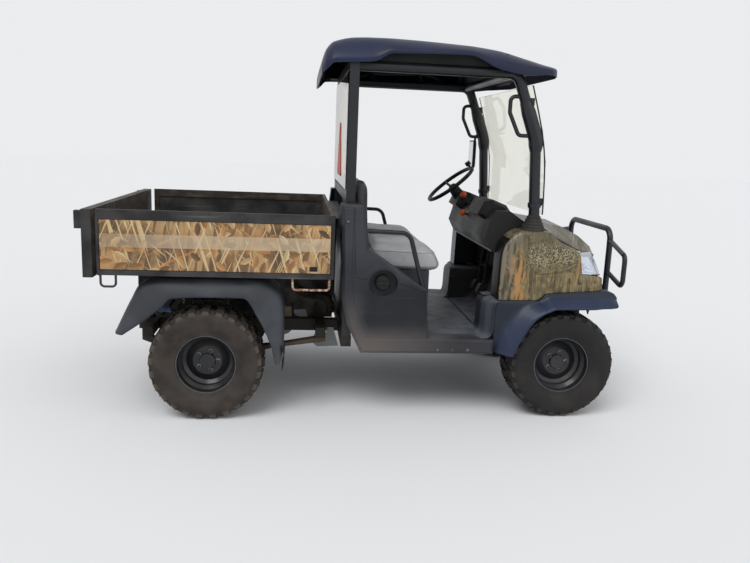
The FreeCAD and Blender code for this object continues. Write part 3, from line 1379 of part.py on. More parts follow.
def front_guard():
    """The tubular front guard: a hoop, two swept ears, a lower bar and stays to the rails' ends."""
    x = s.guard_x
    half = s.guard_width / 2
    ear = s.guard_ear_width / 2
    low, top = s.guard_bottom_z, s.guard_top_z
    hoop = [(x, -half, low), (x, -half, top), (x, half, top), (x, half, low)]
    shapes = [bar(hoop, s.guard_radius, 70), rod((x, -half, low + 18), (x, half, low + 18), s.guard_radius)]
    for side in (-1, 1):
        loop = [(x, side * half, 980), (x - 30, side * ear, 925), (x - 30, side * ear, 745), (x, side * half, 790)]
        shapes.append(bar(loop, s.guard_ear_radius, 40))
        stay_y = (side * s.rail_spacing / 2 - 15, side * s.rail_spacing / 2 + 15)
        stay_z = (s.guard_stay_z - s.guard_stay_height / 2, s.guard_stay_z + s.guard_stay_height / 2)
        shapes.append(block((s.rail_front_x + s.seat_gap, x), stay_y, stay_z))
    feature("front_guard", shapes[0].fuse(shapes[1:]))


def bed_floor():
    """The bed's floor plate on its subframe, with the hinge ears, the lift ears and the tailgate's hinge eyes."""
    plate_z = (s.bed_floor_z - s.bed_floor_thickness, s.bed_floor_z)
    reach = bed_inner - s.seat_gap
    front = bed_front_x - s.bed_wall_thickness
    pieces = [box("bed_plate", (s.bed_rear_x, front), (-reach, reach), plate_z)]
    eyes = []
    low = bed_rest_z + s.seat_gap
    for side, word in ((-1, "right"), (1, "left")):
        middle = s.subframe_spacing / 2
        rail = outward(side, middle - s.subframe_width / 2, middle + s.subframe_width / 2)
        pieces.append(box(f"bed_rail_{word}", (s.bed_rear_x + 84, front - 20), rail, (low, plate_z[0] + 1)))
        ear = outward(side, rail_outer + s.swing_gap / 2, rail_outer + s.swing_gap / 2 + s.hinge_ear_width)
        ear_x = (s.hinge_x - s.hinge_ear_radius, s.hinge_x + s.hinge_ear_radius)
        pieces.append(box(f"hinge_ear_{word}", ear_x, ear, (s.hinge_z, plate_z[0] + 1)))
        pieces.append(cylinder(f"hinge_eye_{word}", "y", s.hinge_ear_radius, (s.hinge_x, ear[0], s.hinge_z), s.hinge_ear_width))
        eyes.append(cylinder(f"hinge_bore_{word}", "y", s.hinge_pin_radius + s.pin_gap, (s.hinge_x, ear[0] - 1, s.hinge_z), s.hinge_ear_width + 2))
        lug = outward(side, s.lift_head_width / 2 + 1, s.lift_head_width / 2 + 1 + s.lift_ear_width)
        lug_x = (s.lift_eye_x - s.lift_ear_radius, s.lift_eye_x + s.lift_ear_radius)
        pieces.append(box(f"lift_lug_{word}", lug_x, lug, (s.lift_eye_z - s.lift_ear_radius, plate_z[0] + 1)))
        hinge = outward(side, tailgate_eye_y + s.tailgate_eye_length + s.seat_gap, tailgate_eye_y + s.tailgate_eye_length * 2)
        start = (s.tailgate_hinge_x, hinge[0], s.tailgate_hinge_z)
        length = s.tailgate_eye_length - s.seat_gap
        pieces.append(cylinder(f"gate_eye_{word}", "y", s.tailgate_hinge_radius, start, length))
        eyes.append(cylinder(f"gate_bore_{word}", "y", s.tailgate_pin_radius + s.pin_gap, (start[0], start[1] - 1, start[2]), length + 2))
        pieces.append(box(f"gate_hanger_{word}", (s.tailgate_hinge_x, s.bed_rear_x + 10), hinge, (s.tailgate_hinge_z, plate_z[0] + 1)))
    start = (s.lift_eye_x, -s.lift_head_width / 2 - 1 - s.lift_ear_width, s.lift_eye_z)
    pieces.append(cylinder("lift_lug_pin", "y", s.lift_pin_radius, start, (s.lift_head_width / 2 + 1 + s.lift_ear_width) * 2))
    for index, x in enumerate((s.bed_rear_x + 54, -1000, -650, -280)):
        across = (x - s.post_thickness / 2, x + s.post_thickness / 2)
        pieces.append(box(f"bed_cross_{index}", across, (-reach, reach), (plate_z[0] - 30, plate_z[0] + 1)))
    sub_part(cut("bed_floor", fuse("bed_blank", pieces), fuse("bed_bores", eyes)), "bed_floor")


def bed_walls():
    """The bed's front wall and its two sides, with a top rail, end posts and a recessed panel."""
    reach = bed_inner - s.seat_gap
    front = (bed_front_x - s.bed_wall_thickness + s.seat_gap, bed_front_x)
    wall = box("front_wall_sheet", (front[0], front[0] + s.body_wall), (-reach, reach), (s.bed_sill_z, s.bed_top_z - 2))
    rails = [
        box(f"front_wall_{name}", front, (-reach, reach), height) for name, height in (
            ("top", (s.bed_top_z - s.bed_rail_height, s.bed_top_z - 2)), ("sill", (s.bed_sill_z, s.bed_sill_z + s.bed_sill_height)))]
    posts = [
        box(f"front_wall_post_{index}", front, (y - 15, y + 15), (s.bed_sill_z, s.bed_top_z - 2))
        for index, y in enumerate((-reach + 15, -240, 240, reach - 15))]
    sub_part(fuse("bed_front_wall", [wall] + rails + posts), "bed_front_wall")
    sides = []
    for side, word in ((-1, "right"), (1, "left")):
        y = outward(side, bed_inner, s.bed_width / 2)
        blank = box(f"side_blank_{word}", (s.bed_rear_x, bed_front_x), y, (s.bed_sill_z, s.bed_top_z))
        panel_y = outward(side, s.bed_width / 2 - s.bed_panel_recess, s.bed_width / 2 + 1)
        panel_x = (s.bed_rear_x + s.bed_post_width / 3, bed_front_x - s.bed_post_width / 2)
        panel = box(f"side_recess_{word}", panel_x, panel_y, (s.bed_sill_z + s.bed_sill_height, s.bed_top_z - s.bed_rail_height))
        inner_y = outward(side, bed_inner - 1, bed_inner + s.bed_panel_recess)
        inner_x = (s.bed_rear_x + s.bed_post_width, bed_front_x - s.bed_wall_thickness - s.bed_post_width)
        inner = box(f"side_inner_recess_{word}", inner_x, inner_y, (s.bed_floor_z + 20, s.bed_top_z - s.bed_rail_height))
        sides.append(cut(f"bed_side_{word}", blank, fuse(f"side_cuts_{word}", [panel, inner])))
    document.recompute()
    feature("bed_sides", Part.makeCompound([side.Shape for side in sides]))


def tie_hooks():
    """Four bent-wire tie-down loops under the bed's sides."""
    solids = []
    top = s.bed_sill_z - s.seat_gap
    low = s.bed_sill_z - s.hook_drop
    for side in (-1, 1):
        y = side * (s.bed_width / 2 - s.bed_side_thickness / 2)
        for rear, front in ((s.bed_rear_x + 14, s.bed_rear_x + 89), (bed_front_x - 213, bed_front_x - 22)):
            path = [(rear, y, top), (rear, y, low), (front, y, low), (front, y, top)]
            solids.append(bar(path, s.hook_radius, 20))
    feature("tie_hooks", Part.makeCompound(solids))


def tailgate():
    """The tailgate with a recessed rear panel, end latches and the hinge eyes at its foot."""
    rear = s.bed_rear_x - s.tailgate_gap - s.tailgate_thickness
    front = rear + s.tailgate_thickness
    half = s.bed_width / 2 - 2
    low, top = s.tailgate_bottom_z, s.tailgate_top_z
    pieces = [box("gate_blank", (rear, front), (-half, half), (low, top))]
    cuts = []
    for index, y in enumerate((-half * 2 / 3, 0, half * 2 / 3)):
        reach = half / 3 - 22
        cuts.append(box(f"gate_recess_{index}", (rear - 1, rear + s.tailgate_recess), (y - reach, y + reach), (low + 50, top - 44)))
    gate = cut("gate_panel", pieces[0], fuse("gate_recesses", cuts))
    parts = [gate]
    for side, word in ((-1, "right"), (1, "left")):
        latch = outward(side, half - 55, half - 15)
        parts.append(box(f"gate_latch_{word}", (rear - s.latch_reach, rear + 1), latch, (top - 99, top - 9)))
        eye = outward(side, tailgate_eye_y, tailgate_eye_y + s.tailgate_eye_length)
        start = (s.tailgate_hinge_x, eye[0], s.tailgate_hinge_z)
        parts.append(cylinder(f"gate_knuckle_{word}", "y", s.tailgate_hinge_radius, start, s.tailgate_eye_length))
        knuckle_z = (s.tailgate_hinge_z - s.tailgate_hinge_radius + 2, s.tailgate_hinge_z + s.tailgate_hinge_radius)
        parts.append(box(f"gate_leaf_{word}", (front - 1, s.tailgate_hinge_x), eye, knuckle_z))
        pin = outward(side, tailgate_eye_y, tailgate_eye_y + s.tailgate_eye_length * 2)
        start = (s.tailgate_hinge_x, pin[0], s.tailgate_hinge_z)
        parts.append(cylinder(f"gate_pin_{word}", "y", s.tailgate_pin_radius, start, s.tailgate_eye_length * 2))
    sub_part(fuse("tailgate", parts), "tailgate")


def lift_cylinder():
    """The single-acting lift cylinder under the bed: a barrel on the chassis pin and a rod to the bed's pin."""
    base = Vector(s.lift_base_x, 0, s.lift_base_z)
    eye = Vector(s.lift_eye_x, 0, s.lift_eye_z)
    along = (eye - base).normalize()
    pin = s.lift_pin_radius + s.pin_gap

    def at(distance):
        return base + along * distance

    neck = s.lift_neck
    mouth = neck + s.lift_barrel_length
    foot_half = s.lift_foot_width / 2
    foot = Part.makeCylinder(s.lift_ear_radius + 4, s.lift_foot_width, base - Vector(0, foot_half, 0), Vector(0, 1, 0))
    shapes = [
        Part.makeCylinder(s.lift_rod_radius + 2, neck + 2, base, along), Part.makeCylinder(s.lift_barrel_radius, s.lift_barrel_length, at(neck), along),
        Part.makeCylinder(s.lift_barrel_radius + 5, 22, at(mouth - 22), along),
    ]
    bore = Part.makeCylinder(s.lift_rod_radius + 0.3, s.lift_barrel_length, at(neck + 12), along)
    hole = Part.makeCylinder(pin, s.lift_foot_width + 2, base - Vector(0, foot_half + 1, 0), Vector(0, 1, 0))
    feature("lift_barrel", foot.fuse(shapes).cut(bore).cut(hole))
    head_half = s.lift_head_width / 2
    # The rod's eye is loose on the bed's pin, by as much as a straight coupling lets it drift from the pin
    hole_radius = s.lift_pin_radius + s.lift_slack
    head = Part.makeCylinder(hole_radius + s.lift_eye_rim, s.lift_head_width, eye - Vector(0, head_half, 0), Vector(0, 1, 0))
    start = neck + 20
    shaft = Part.makeCylinder(s.lift_rod_radius, (eye - base).Length - start, at(start), along)
    eye_hole = Part.makeCylinder(hole_radius, s.lift_head_width + 2, eye - Vector(0, head_half + 1, 0), Vector(0, 1, 0))
    feature("lift_rod", head.fuse(shaft).cut(eye_hole))


def ball_mount():
    """The hitch ball on its bar, which slides into the receiver."""
    half = s.receiver_size / 2 - s.receiver_wall - s.seat_gap
    x = receiver_mouth_x - s.ball_reach
    z = s.receiver_z
    bar_shape = block((x - 22, s.rail_rear_x - 20), (-half, half), (z - half, z + half))
    pieces = [
        Part.makeCylinder(12, 30, Vector(x, 0, z + half - 1)), Part.makeCylinder(17, 8, Vector(x, 0, z + half - 0.5)),
        Part.makeSphere(s.ball_radius, Vector(x, 0, z + half + 46)),
    ]
    feature("ball_mount", bar_shape.fuse(pieces))


chassis_frame()
engine_block()
muffler()
rear_suspension()
front_suspension()
both_sides(knuckle)
wheels()
fenders()
side_covers()
fuel_cap()
floor_pan()
seat_base()
seats()
bulkhead()
rear_hoop()
front_hoop()
screens()
roof_panel()
hip_bars()
grab_handles()
mirror()
post_boots()
steering()
controls()
cowl()
hood()
grille()
headlights()
front_guard()
bed_floor()
bed_walls()
tie_hooks()
tailgate()
lift_cylinder()
ball_mount()
document.recompute()

for thing in document.Objects:
    if "Invalid" in thing.State or "Error" in thing.State:
        raise RuntimeError(f"{thing.Label} failed: {thing.State}")
faulty = [part.Label for part in sub_parts if part.Shape.isNull() or not part.Shape.isValid()]
if faulty:
    raise RuntimeError(f"No valid shape: {faulty}")
os.makedirs("parts", exist_ok=True)
for part in sub_parts:
    part.Shape.exportStep(f"parts/{part.Label}.step")
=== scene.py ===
"""Looks of a two-seat side by side utility vehicle with a tipping cargo bed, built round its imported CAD
frame. Metres."""
import math

import bmesh
import bpy
import numpy as np
from mathutils import Matrix, Vector
from mathutils.bvhtree import BVHTree


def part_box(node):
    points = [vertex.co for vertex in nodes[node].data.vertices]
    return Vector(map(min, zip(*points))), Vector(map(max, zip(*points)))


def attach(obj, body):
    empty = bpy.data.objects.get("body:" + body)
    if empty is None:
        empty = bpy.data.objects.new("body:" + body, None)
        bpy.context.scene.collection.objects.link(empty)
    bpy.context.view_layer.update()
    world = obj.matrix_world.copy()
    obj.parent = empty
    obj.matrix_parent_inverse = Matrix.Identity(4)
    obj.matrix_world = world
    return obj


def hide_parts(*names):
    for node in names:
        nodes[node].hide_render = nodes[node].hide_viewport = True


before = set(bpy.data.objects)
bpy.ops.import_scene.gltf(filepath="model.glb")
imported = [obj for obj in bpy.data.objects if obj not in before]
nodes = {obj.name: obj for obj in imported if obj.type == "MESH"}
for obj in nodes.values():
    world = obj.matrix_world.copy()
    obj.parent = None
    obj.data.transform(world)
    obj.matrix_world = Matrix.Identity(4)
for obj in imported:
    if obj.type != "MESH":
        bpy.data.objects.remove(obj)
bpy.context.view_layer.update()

# The camera stands a little behind the middle of the vehicle's right side, at a standing person's eye height.
# Its place, turn and lens were fitted to measured points of the body.
camera_place = Vector((-0.3935, -4.4039, 1.4975))
yaw, pitch, roll = (math.radians(angle) for angle in (6.428, 10.998, -2.377))
ahead = Vector((math.sin(yaw) * math.cos(pitch), math.cos(yaw) * math.cos(pitch), -math.sin(pitch)))
level = Vector((math.cos(yaw), -math.sin(yaw), 0))
fall = ahead.cross(level)
camera_right = level * math.cos(roll) + fall * math.sin(roll)
camera_up = level * math.sin(roll) - fall * math.cos(roll)
camera_data = bpy.data.cameras.new("camera")
camera_data.sensor_width = 36
camera_data.lens = 34.13
camera = bpy.data.objects.new("camera", camera_data)
camera.matrix_world = Matrix.Translation(camera_place) @ Matrix(
    (camera_right, camera_up, -ahead)
).transposed().to_4x4()
bpy.context.scene.collection.objects.link(camera)
bpy.context.scene.camera = camera
bpy.context.scene.view_settings.view_transform = "Standard"

# The setting is a pale studio floor under an even pale sky, with one broad soft lamp from the left front, so
# that dark plastic and gloss paint show their form. The floor only catches the shadow.
PALE = (0.83, 0.84, 0.85, 1)


def put(tree, kind, inputs=(), **settings):
    """A shader node with its settings, and its inputs by name or number, as a value or as another node's
    socket."""
    made = tree.nodes.new(kind)
    for setting, value in settings.items():
        setattr(made, setting, value)
    for key, value in dict(inputs).items():
        if isinstance(value, bpy.types.NodeSocket):
            tree.links.new(value, made.inputs[key])
        else:
            made.inputs[key].default_value = value
    return made


world = bpy.data.worlds.new("studio")
bpy.context.scene.world = world
world.use_nodes = True
sky = world.node_tree
sky.nodes.clear()
rays = put(sky, "ShaderNodeLightPath")
seen = put(
    sky, "ShaderNodeMath", {0: rays.outputs["Is Camera Ray"], 1: rays.outputs["Is Glossy Ray"]},
    operation="MAXIMUM",
)
seen = put(
    sky, "ShaderNodeMath", {0: seen.outputs[0], 1: rays.outputs["Is Transmission Ray"]}, operation="MAXIMUM",
)
light = put(sky, "ShaderNodeBackground", {"Color": (0.93, 0.96, 1, 1), "Strength": 0.62})
backdrop = put(sky, "ShaderNodeBackground", {"Color": PALE, "Strength": 1})
either = put(sky, "ShaderNodeMixShader", {0: seen.outputs[0], 1: light.outputs[0], 2: backdrop.outputs[0]})
put(sky, "ShaderNodeOutputWorld", {"Surface": either.outputs[0]})

# Columns: name, strength, width of the sun in degrees, turn about X and about Z in degrees
for name, strength, width, lean, turn in (("key_lamp", 1.5, 34, 38, -32), ("fill_lamp", 0.45, 60, 62, 40)):
    lamp_data = bpy.data.lights.new(name, "SUN")
    lamp_data.energy = strength
    lamp_data.angle = math.radians(width)
    lamp = bpy.data.objects.new(name, lamp_data)
    lamp.rotation_euler = (math.radians(lean), 0, math.radians(turn))
    bpy.context.scene.collection.objects.link(lamp)

floor_material = bpy.data.materials.new("studio floor")
floor_material.use_nodes = True
floor_shader = floor_material.node_tree.nodes["Principled BSDF"]
floor_shader.inputs["Base Color"].default_value = (0.8, 0.8, 0.8, 1)
floor_shader.inputs["Roughness"].default_value = 0.9
floor_shader.inputs["Specular IOR Level"].default_value = 0.1
floor_mesh = bpy.data.meshes.new("studio_floor")
floor_mesh.from_pydata([(-40, -40, 0), (40, -40, 0), (40, 40, 0), (-40, 40, 0)], [], [(0, 1, 2, 3)])
floor_mesh.materials.append(floor_material)
studio_floor = bpy.data.objects.new("studio_floor", floor_mesh)
bpy.context.scene.collection.objects.link(studio_floor)

# The frame is welded steel tube and channel under a gloss blue-black powder coat: rails, roll hoops, hip
# bars, grab handles and front guard. The coat has a slight orange peel, and road dust lies low and on upward
# faces.


def shade(red, green, blue):
    """A colour as it shows on a screen, 0 to 255, as the linear values that a shader takes."""
    linear = (np.array([red, green, blue]) / 255) ** 2.2
    return (*linear.tolist(), 1)


def group(name, inputs, outputs):
    """A new shader group. Inputs are name: (kind, value) and outputs name: kind. Gives the tree and its two
    ends."""
    tree = bpy.data.node_groups.new(name, "ShaderNodeTree")
    for label, (kind, value) in inputs.items():
        socket = tree.interface.new_socket(label, in_out="INPUT", socket_type=kind)
        if value is not None:
            socket.default_value = value
    for label, kind in outputs.items():
        tree.interface.new_socket(label, in_out="OUTPUT", socket_type=kind)
    return tree, tree.nodes.new("NodeGroupInput").outputs, tree.nodes.new("NodeGroupOutput").inputs


NUMBER, COLOUR, VECTOR = "NodeSocketFloat", "NodeSocketColor", "NodeSocketVector"


def blend(tree, share, first, second, kind="MIX"):
    """The colour between two colours at a share from 0 to 1."""
    inputs = {0: share, 6: first, 7: second}
    return put(tree, "ShaderNodeMix", inputs, data_type="RGBA", blend_type=kind).outputs[2]


def count(tree, operation, *values, clamp=False):
    """The result of one step of arithmetic in a shader."""
    inputs = dict(enumerate(values))
    return put(tree, "ShaderNodeMath", inputs, operation=operation, use_clamp=clamp).outputs[0]


def times(tree, first, *others):
    """The product of values in a shader."""
    for other in others:
        first = count(tree, "MULTIPLY", first, other)
    return first


def ramp(tree, value, low, high, first=0.0, last=1.0):
    """A value carried from the range low to high onto the range first to last, and held at both ends."""
    ranges = {"Value": value, "From Min": low, "From Max": high, "To Min": first, "To Max": last}
    return put(tree, "ShaderNodeMapRange", ranges).outputs[0]


def axes_of(tree, vector):
    """The X, Y and Z of a vector in a shader, by name."""
    return put(tree, "ShaderNodeSeparateXYZ", {0: vector}).outputs


# Patches: noise cut to a band, from 0 below Low to 1 above High
patches, inward, outward = group(
    "patches",
    {
        "Vector": (VECTOR, None), "Scale": (NUMBER, 5), "Detail": (NUMBER, 3), "Low": (NUMBER, 0.4),
        "High": (NUMBER, 0.6),
    },
    {"Mask": NUMBER},
)
cloud = put(
    patches, "ShaderNodeTexNoise",
    {"Vector": inward["Vector"], "Scale": inward["Scale"], "Detail": inward["Detail"]},
)
band = put(
    patches, "ShaderNodeMapRange",
    {"Value": cloud.outputs[0], "From Min": inward["Low"], "From Max": inward["High"]},
    interpolation_type="SMOOTHSTEP",
)
patches.links.new(band.outputs[0], outward["Mask"])

# Dust: more low down and on faces that look up, broken up by noise
dusting, inward, outward = group(
    "dusting",
    {"Vector": (VECTOR, None), "Amount": (NUMBER, 0.4), "Top Height": (NUMBER, 0.9)},
    {"Mask": NUMBER},
)
height = axes_of(dusting, inward["Vector"])["Z"]
low_down = ramp(dusting, height, inward["Top Height"], 0.1)
facing = axes_of(dusting, put(dusting, "ShaderNodeNewGeometry").outputs["Normal"])["Z"]
lying = times(dusting, count(dusting, "MAXIMUM", facing, 0.0), 0.6)
clumps = {"Vector": inward["Vector"], "Scale": 7.0, "Detail": 5.0, "Roughness": 0.62}
coarse = put(dusting, "ShaderNodeTexNoise", clumps).outputs[0]
broken = times(dusting, count(dusting, "SUBTRACT", coarse, 0.28, clamp=True), 3.0)
heap = times(dusting, count(dusting, "ADD", low_down, lying), broken)
dusting.links.new(count(dusting, "MULTIPLY", heap, inward["Amount"], clamp=True), outward["Mask"])

# Scuffs: long thin pale scratches in two crossing directions
scuffs, inward, outward = group(
    "scuffs", {"Vector": (VECTOR, None), "Scale": (NUMBER, 20), "Amount": (NUMBER, 0.5)}, {"Mask": NUMBER},
)
marks = []
for turn in ((0.3, 0.5, 0.9), (-0.6, 0.2, -0.7)):
    laid = {"Vector": inward["Vector"], "Rotation": turn, "Scale": (0.08, 1, 1)}
    slanted = put(scuffs, "ShaderNodeMapping", laid).outputs[0]
    noise = {"Vector": slanted, "Scale": inward["Scale"], "Detail": 2.0}
    line = put(scuffs, "ShaderNodeTexNoise", noise).outputs[0]
    peak = count(scuffs, "SUBTRACT", line, 0.68, clamp=True)
    marks.append(count(scuffs, "MULTIPLY", peak, 9.0, clamp=True))
scuffs.links.new(times(scuffs, count(scuffs, "MAXIMUM", *marks), inward["Amount"]), outward["Mask"])

DUST = shade(112, 104, 94)


def use(tree, of_group, **inputs):
    """A group placed in a material with its own values. Returns its first output."""
    made = put(tree, "ShaderNodeGroup", node_tree=of_group)
    for label, value in inputs.items():
        socket = made.inputs[label.replace("_", " ")]
        if isinstance(value, bpy.types.NodeSocket):
            tree.links.new(value, socket)
        else:
            socket.default_value = value
    return made.outputs[0]


def blank(name):
    """A new material, its tree and its shader, and the place of a point on its object."""
    material = bpy.data.materials.new(name)
    material.use_nodes = True
    tree = material.node_tree
    return material, tree, tree.nodes["Principled BSDF"], put(tree, "ShaderNodeTexCoord").outputs["Object"]


def finish(name, colour, second, roughness, *, spread=0.1, metallic=0.0, coat=0.0, patch=3.0, grain=900.0,
           grain_depth=0.0002, dust=0.3, dust_top=0.9, scuff=0.1, scuff_colour=None, paint=None, gloss=0.28):
    """A worn solid finish: two near colours in patches, scuffs, dust, and a fine grain in the bump and
    gloss."""
    material, tree, shader, place = blank(name)
    wear = use(tree, patches, Vector=place, Scale=patch, Low=0.35, High=0.7)
    base = blend(tree, wear, colour, second)
    if paint:
        base = paint(tree, place, base)
    scratched = use(tree, scuffs, Vector=place, Amount=scuff)
    base = blend(tree, scratched, base, scuff_colour or [min(1, c * 2.5 + 0.03) for c in colour[:3]] + [1])
    dirt = use(tree, dusting, Vector=place, Amount=dust, Top_Height=dust_top)
    tree.links.new(blend(tree, dirt, base, DUST), shader.inputs["Base Color"])
    rough = ramp(tree, wear, 0, 1, roughness, roughness + spread)
    tree.links.new(count(tree, "ADD", rough, times(tree, dirt, 0.5), clamp=True), shader.inputs["Roughness"])
    fine = put(tree, "ShaderNodeTexNoise", {"Vector": place, "Scale": grain, "Detail": 2.0}).outputs[0]
    bump = put(tree, "ShaderNodeBump", {"Height": fine, "Distance": grain_depth, "Strength": 1.0})
    tree.links.new(bump.outputs[0], shader.inputs["Normal"])
    shader.inputs["Metallic"].default_value = metallic
    shader.inputs["Specular IOR Level"].default_value = gloss
    shader.inputs["Coat Weight"].default_value = coat
    shader.inputs["Coat Roughness"].default_value = 0.15
    return material


def dress(material, *names):
    """Gives CAD nodes a finish, in all their material slots."""
    for name in names:
        for place in nodes[name].material_slots:
            place.material = material
        if not nodes[name].material_slots:
            nodes[name].data.materials.append(material)


tube_paint = finish(
    "blue-black powder coat", shade(14, 18, 24), shade(20, 25, 33), 0.34, spread=0.14, grain=160.0,
    grain_depth=0.0004, dust=0.1, dust_top=0.8, scuff=0.1, gloss=0.5,
)
dress(tube_paint, "rear_hoop", "front_hoop", "hip_bars", "grab_handles", "front_guard")
frame_paint = finish(
    "dusty chassis paint", shade(20, 20, 21), shade(30, 27, 25), 0.55, spread=0.25, grain=220.0,
    grain_depth=0.0006, dust=0.35, dust_top=0.9, scuff=0.15,
)
dress(frame_paint, "chassis_frame", "front_suspension", "knuckle_left", "knuckle_right", "ball_mount")


def weld(name, shapes, material, body, *, soft_angle=38):
    """One object from (points, faces) shapes: joined, doubles merged, normals made to face out, riding on a
    body."""
    mesh = bpy.data.meshes.new(name)
    points, faces, start = [], [], 0
    for corners, sides in shapes:
        corners = np.asarray(corners, float).reshape(-1, 3)
        points.append(corners)
        faces.extend([[start + int(k) for k in side] for side in sides])
        start += len(corners)
    mesh.from_pydata(np.vstack(points).tolist(), [], faces)
    shell = bmesh.new()
    shell.from_mesh(mesh)
    bmesh.ops.remove_doubles(shell, verts=shell.verts, dist=1e-6)
    bmesh.ops.dissolve_degenerate(shell, edges=shell.edges, dist=1e-6)
    bmesh.ops.recalc_face_normals(shell, faces=shell.faces)
    shell.to_mesh(mesh)
    shell.free()
    mesh.shade_smooth()
    mesh.set_sharp_from_angle(angle=math.radians(soft_angle))
    mesh.materials.append(material)
    made = bpy.data.objects.new(name, mesh)
    bpy.context.scene.collection.objects.link(made)
    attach(made, body)
    return made


def web(grid, *, round_rows=False, round_columns=True, caps=False):
    """(points, faces) over a grid of points: neighbours in rows and columns joined, with flat caps on the end
    rows."""
    rows, columns = grid.shape[:2]
    index = np.arange(rows * columns).reshape(rows, columns)
    wide = np.hstack([index, index[:, :1]]) if round_columns else index
    tall = np.vstack([wide, wide[:1]]) if round_rows else wide
    faces = np.stack([tall[:-1, :-1], tall[:-1, 1:], tall[1:, 1:], tall[1:, :-1]], -1).reshape(-1, 4).tolist()
    if caps:
        faces += [index[0, ::-1].tolist(), index[-1].tolist()]
    return grid.reshape(-1, 3), faces


def turned(profile, centre, axis, steps=32):
    """A profile of (radius, distance along the axis) turned round the axis through a centre."""
    profile = np.asarray(profile, float)
    along = Vector(axis).normalized()
    side = np.array(along.orthogonal().normalized())
    other = np.cross(np.array(along), side)
    angle = np.linspace(0, 2 * math.pi, steps, endpoint=False)[None, :, None]
    reach = profile[:, 0, None, None]
    around = np.cos(angle) * side + np.sin(angle) * other
    ring = reach * around + profile[:, 1, None, None] * np.array(along)
    return web(ring + np.array(centre), caps=bool(profile[0, 0] > 0))


def walled(grid, thickness):
    """A closed shell over an open grid of points: the grid, and a copy of it set back along its normals."""
    normal = np.cross(np.gradient(grid, axis=1), np.gradient(grid, axis=0))
    normal /= np.linalg.norm(normal, axis=-1, keepdims=True)
    columns = grid.shape[1]
    points, faces = web(np.concatenate([grid, (grid - normal * thickness)[:, ::-1]], 1))
    step = np.arange(columns - 1)
    rim = np.stack([step, 2 * columns - 1 - step, 2 * columns - 2 - step, step + 1], -1)
    last = (len(grid) - 1) * 2 * columns
    return points, faces + rim.tolist() + (rim[:, ::-1] + last).tolist()


def eased(wanted, known, values):
    """Columns of values at wanted places: cubics through the known rows that never swing past them, because
    each row's slope is the harmonic mean of the slopes on its two sides, or level where those differ in
    sign."""
    known, values = np.asarray(known, float), np.asarray(values, float)
    gap = np.diff(known)[:, None]
    rise = np.diff(values, axis=0) / gap
    alike = rise[:-1] * rise[1:]
    slope = np.zeros_like(values)
    slope[1:-1] = np.where(alike > 0, 2 * alike / np.where(alike > 0, rise[:-1] + rise[1:], 1), 0)
    slope[0], slope[-1] = rise[0], rise[-1]
    at = np.clip(np.searchsorted(known, wanted, side="right") - 1, 0, len(gap) - 1)
    t = ((wanted - known[at]) / gap[at, 0])[:, None]
    near = (1 + 2 * t) * (1 - t) ** 2 * values[at] + t * (1 - t) ** 2 * gap[at] * slope[at]
    return near + t * t * (3 - 2 * t) * values[at + 1] - t * t * (1 - t) * gap[at] * slope[at + 1]


def rounded(lines, times=2):
    """Open lines with their corners cut off, each time a quarter of the way along both neighbours. The ends
    stay."""
    for _ in range(times):
        first, second = lines[..., :-1, :], lines[..., 1:, :]
        pairs = np.stack([first * 0.75 + second * 0.25, first * 0.25 + second * 0.75], -2)
        middle = pairs.reshape(*lines.shape[:-2], -1, lines.shape[-1])[..., 1:-1, :]
        lines = np.concatenate([lines[..., :1, :], middle, lines[..., -1:, :]], -2)
    return lines


def filleted(outline, cut, steps=6):
    """A closed flat outline with round corners: a curve leaves each side a cut before the corner and joins
    the next."""
    outline = np.asarray(outline, float)
    before, after = np.roll(outline, 1, 0) - outline, np.roll(outline, -1, 0) - outline
    cut = np.broadcast_to(np.asarray(cut, float), len(outline))[:, None]
    begin, end = (
        outline + way * np.minimum(cut / np.linalg.norm(way, axis=1, keepdims=True), 0.48)
        for way in (before, after)
    )
    t = np.linspace(0, 1, steps)[None, :, None]
    curve = (1 - t) ** 2 * begin[:, None] + 2 * t * (1 - t) * outline[:, None] + t * t * end[:, None]
    return curve.reshape(-1, 2)


def drawn_in(outline, margin):
    """A closed flat outline with every side moved inwards by a margin."""
    along = np.roll(outline, -1, 0) - outline
    along /= np.maximum(np.linalg.norm(along, axis=1, keepdims=True), 1e-9)
    x, z = outline.T
    turn = np.sign((x * np.roll(z, -1) - np.roll(x, -1) * z).sum())
    after = np.stack([-along[:, 1], along[:, 0]], 1) * turn
    before = np.roll(after, 1, 0)
    return outline + (before + after) * margin / np.maximum(1 + (before * after).sum(1, keepdims=True), 0.3)


def layered(outline, steps, side=1):
    """Rings of one outline in x and z, one for each (margin, y) step, joined and capped at both ends."""
    rings = [np.insert(drawn_in(outline, margin), 1, side * y, axis=1) for margin, y in steps]
    return web(np.array(rings), caps=True)


def tube(path, radius, sides=10, closed=False):
    """A round bar along a path of points: a ring of corners square to the path's direction at every point."""
    path = np.asarray(path, float)
    ahead_points = np.roll(path, -1, 0) if closed else np.vstack([path[1:], 2 * path[-1:] - path[-2:-1]])
    behind = np.roll(path, 1, 0) if closed else np.vstack([2 * path[:1] - path[1:2], path[:-1]])
    direction = ahead_points - behind
    direction /= np.linalg.norm(direction, axis=1, keepdims=True)
    start = np.array(Vector(direction[0]).orthogonal().normalized())
    first = []
    for heading in direction:
        start = start - heading * (start @ heading)
        start = start / np.linalg.norm(start)
        first.append(start)
    first = np.array(first)
    second = np.cross(direction, first)
    angle = np.linspace(0, 2 * math.pi, sides, endpoint=False)[None, :, None]
    reach = np.broadcast_to(np.asarray(radius, float), len(path))[:, None, None]
    ring = path[:, None] + reach * (np.cos(angle) * first[:, None] + np.sin(angle) * second[:, None])
    return web(ring, round_rows=closed, caps=not closed)


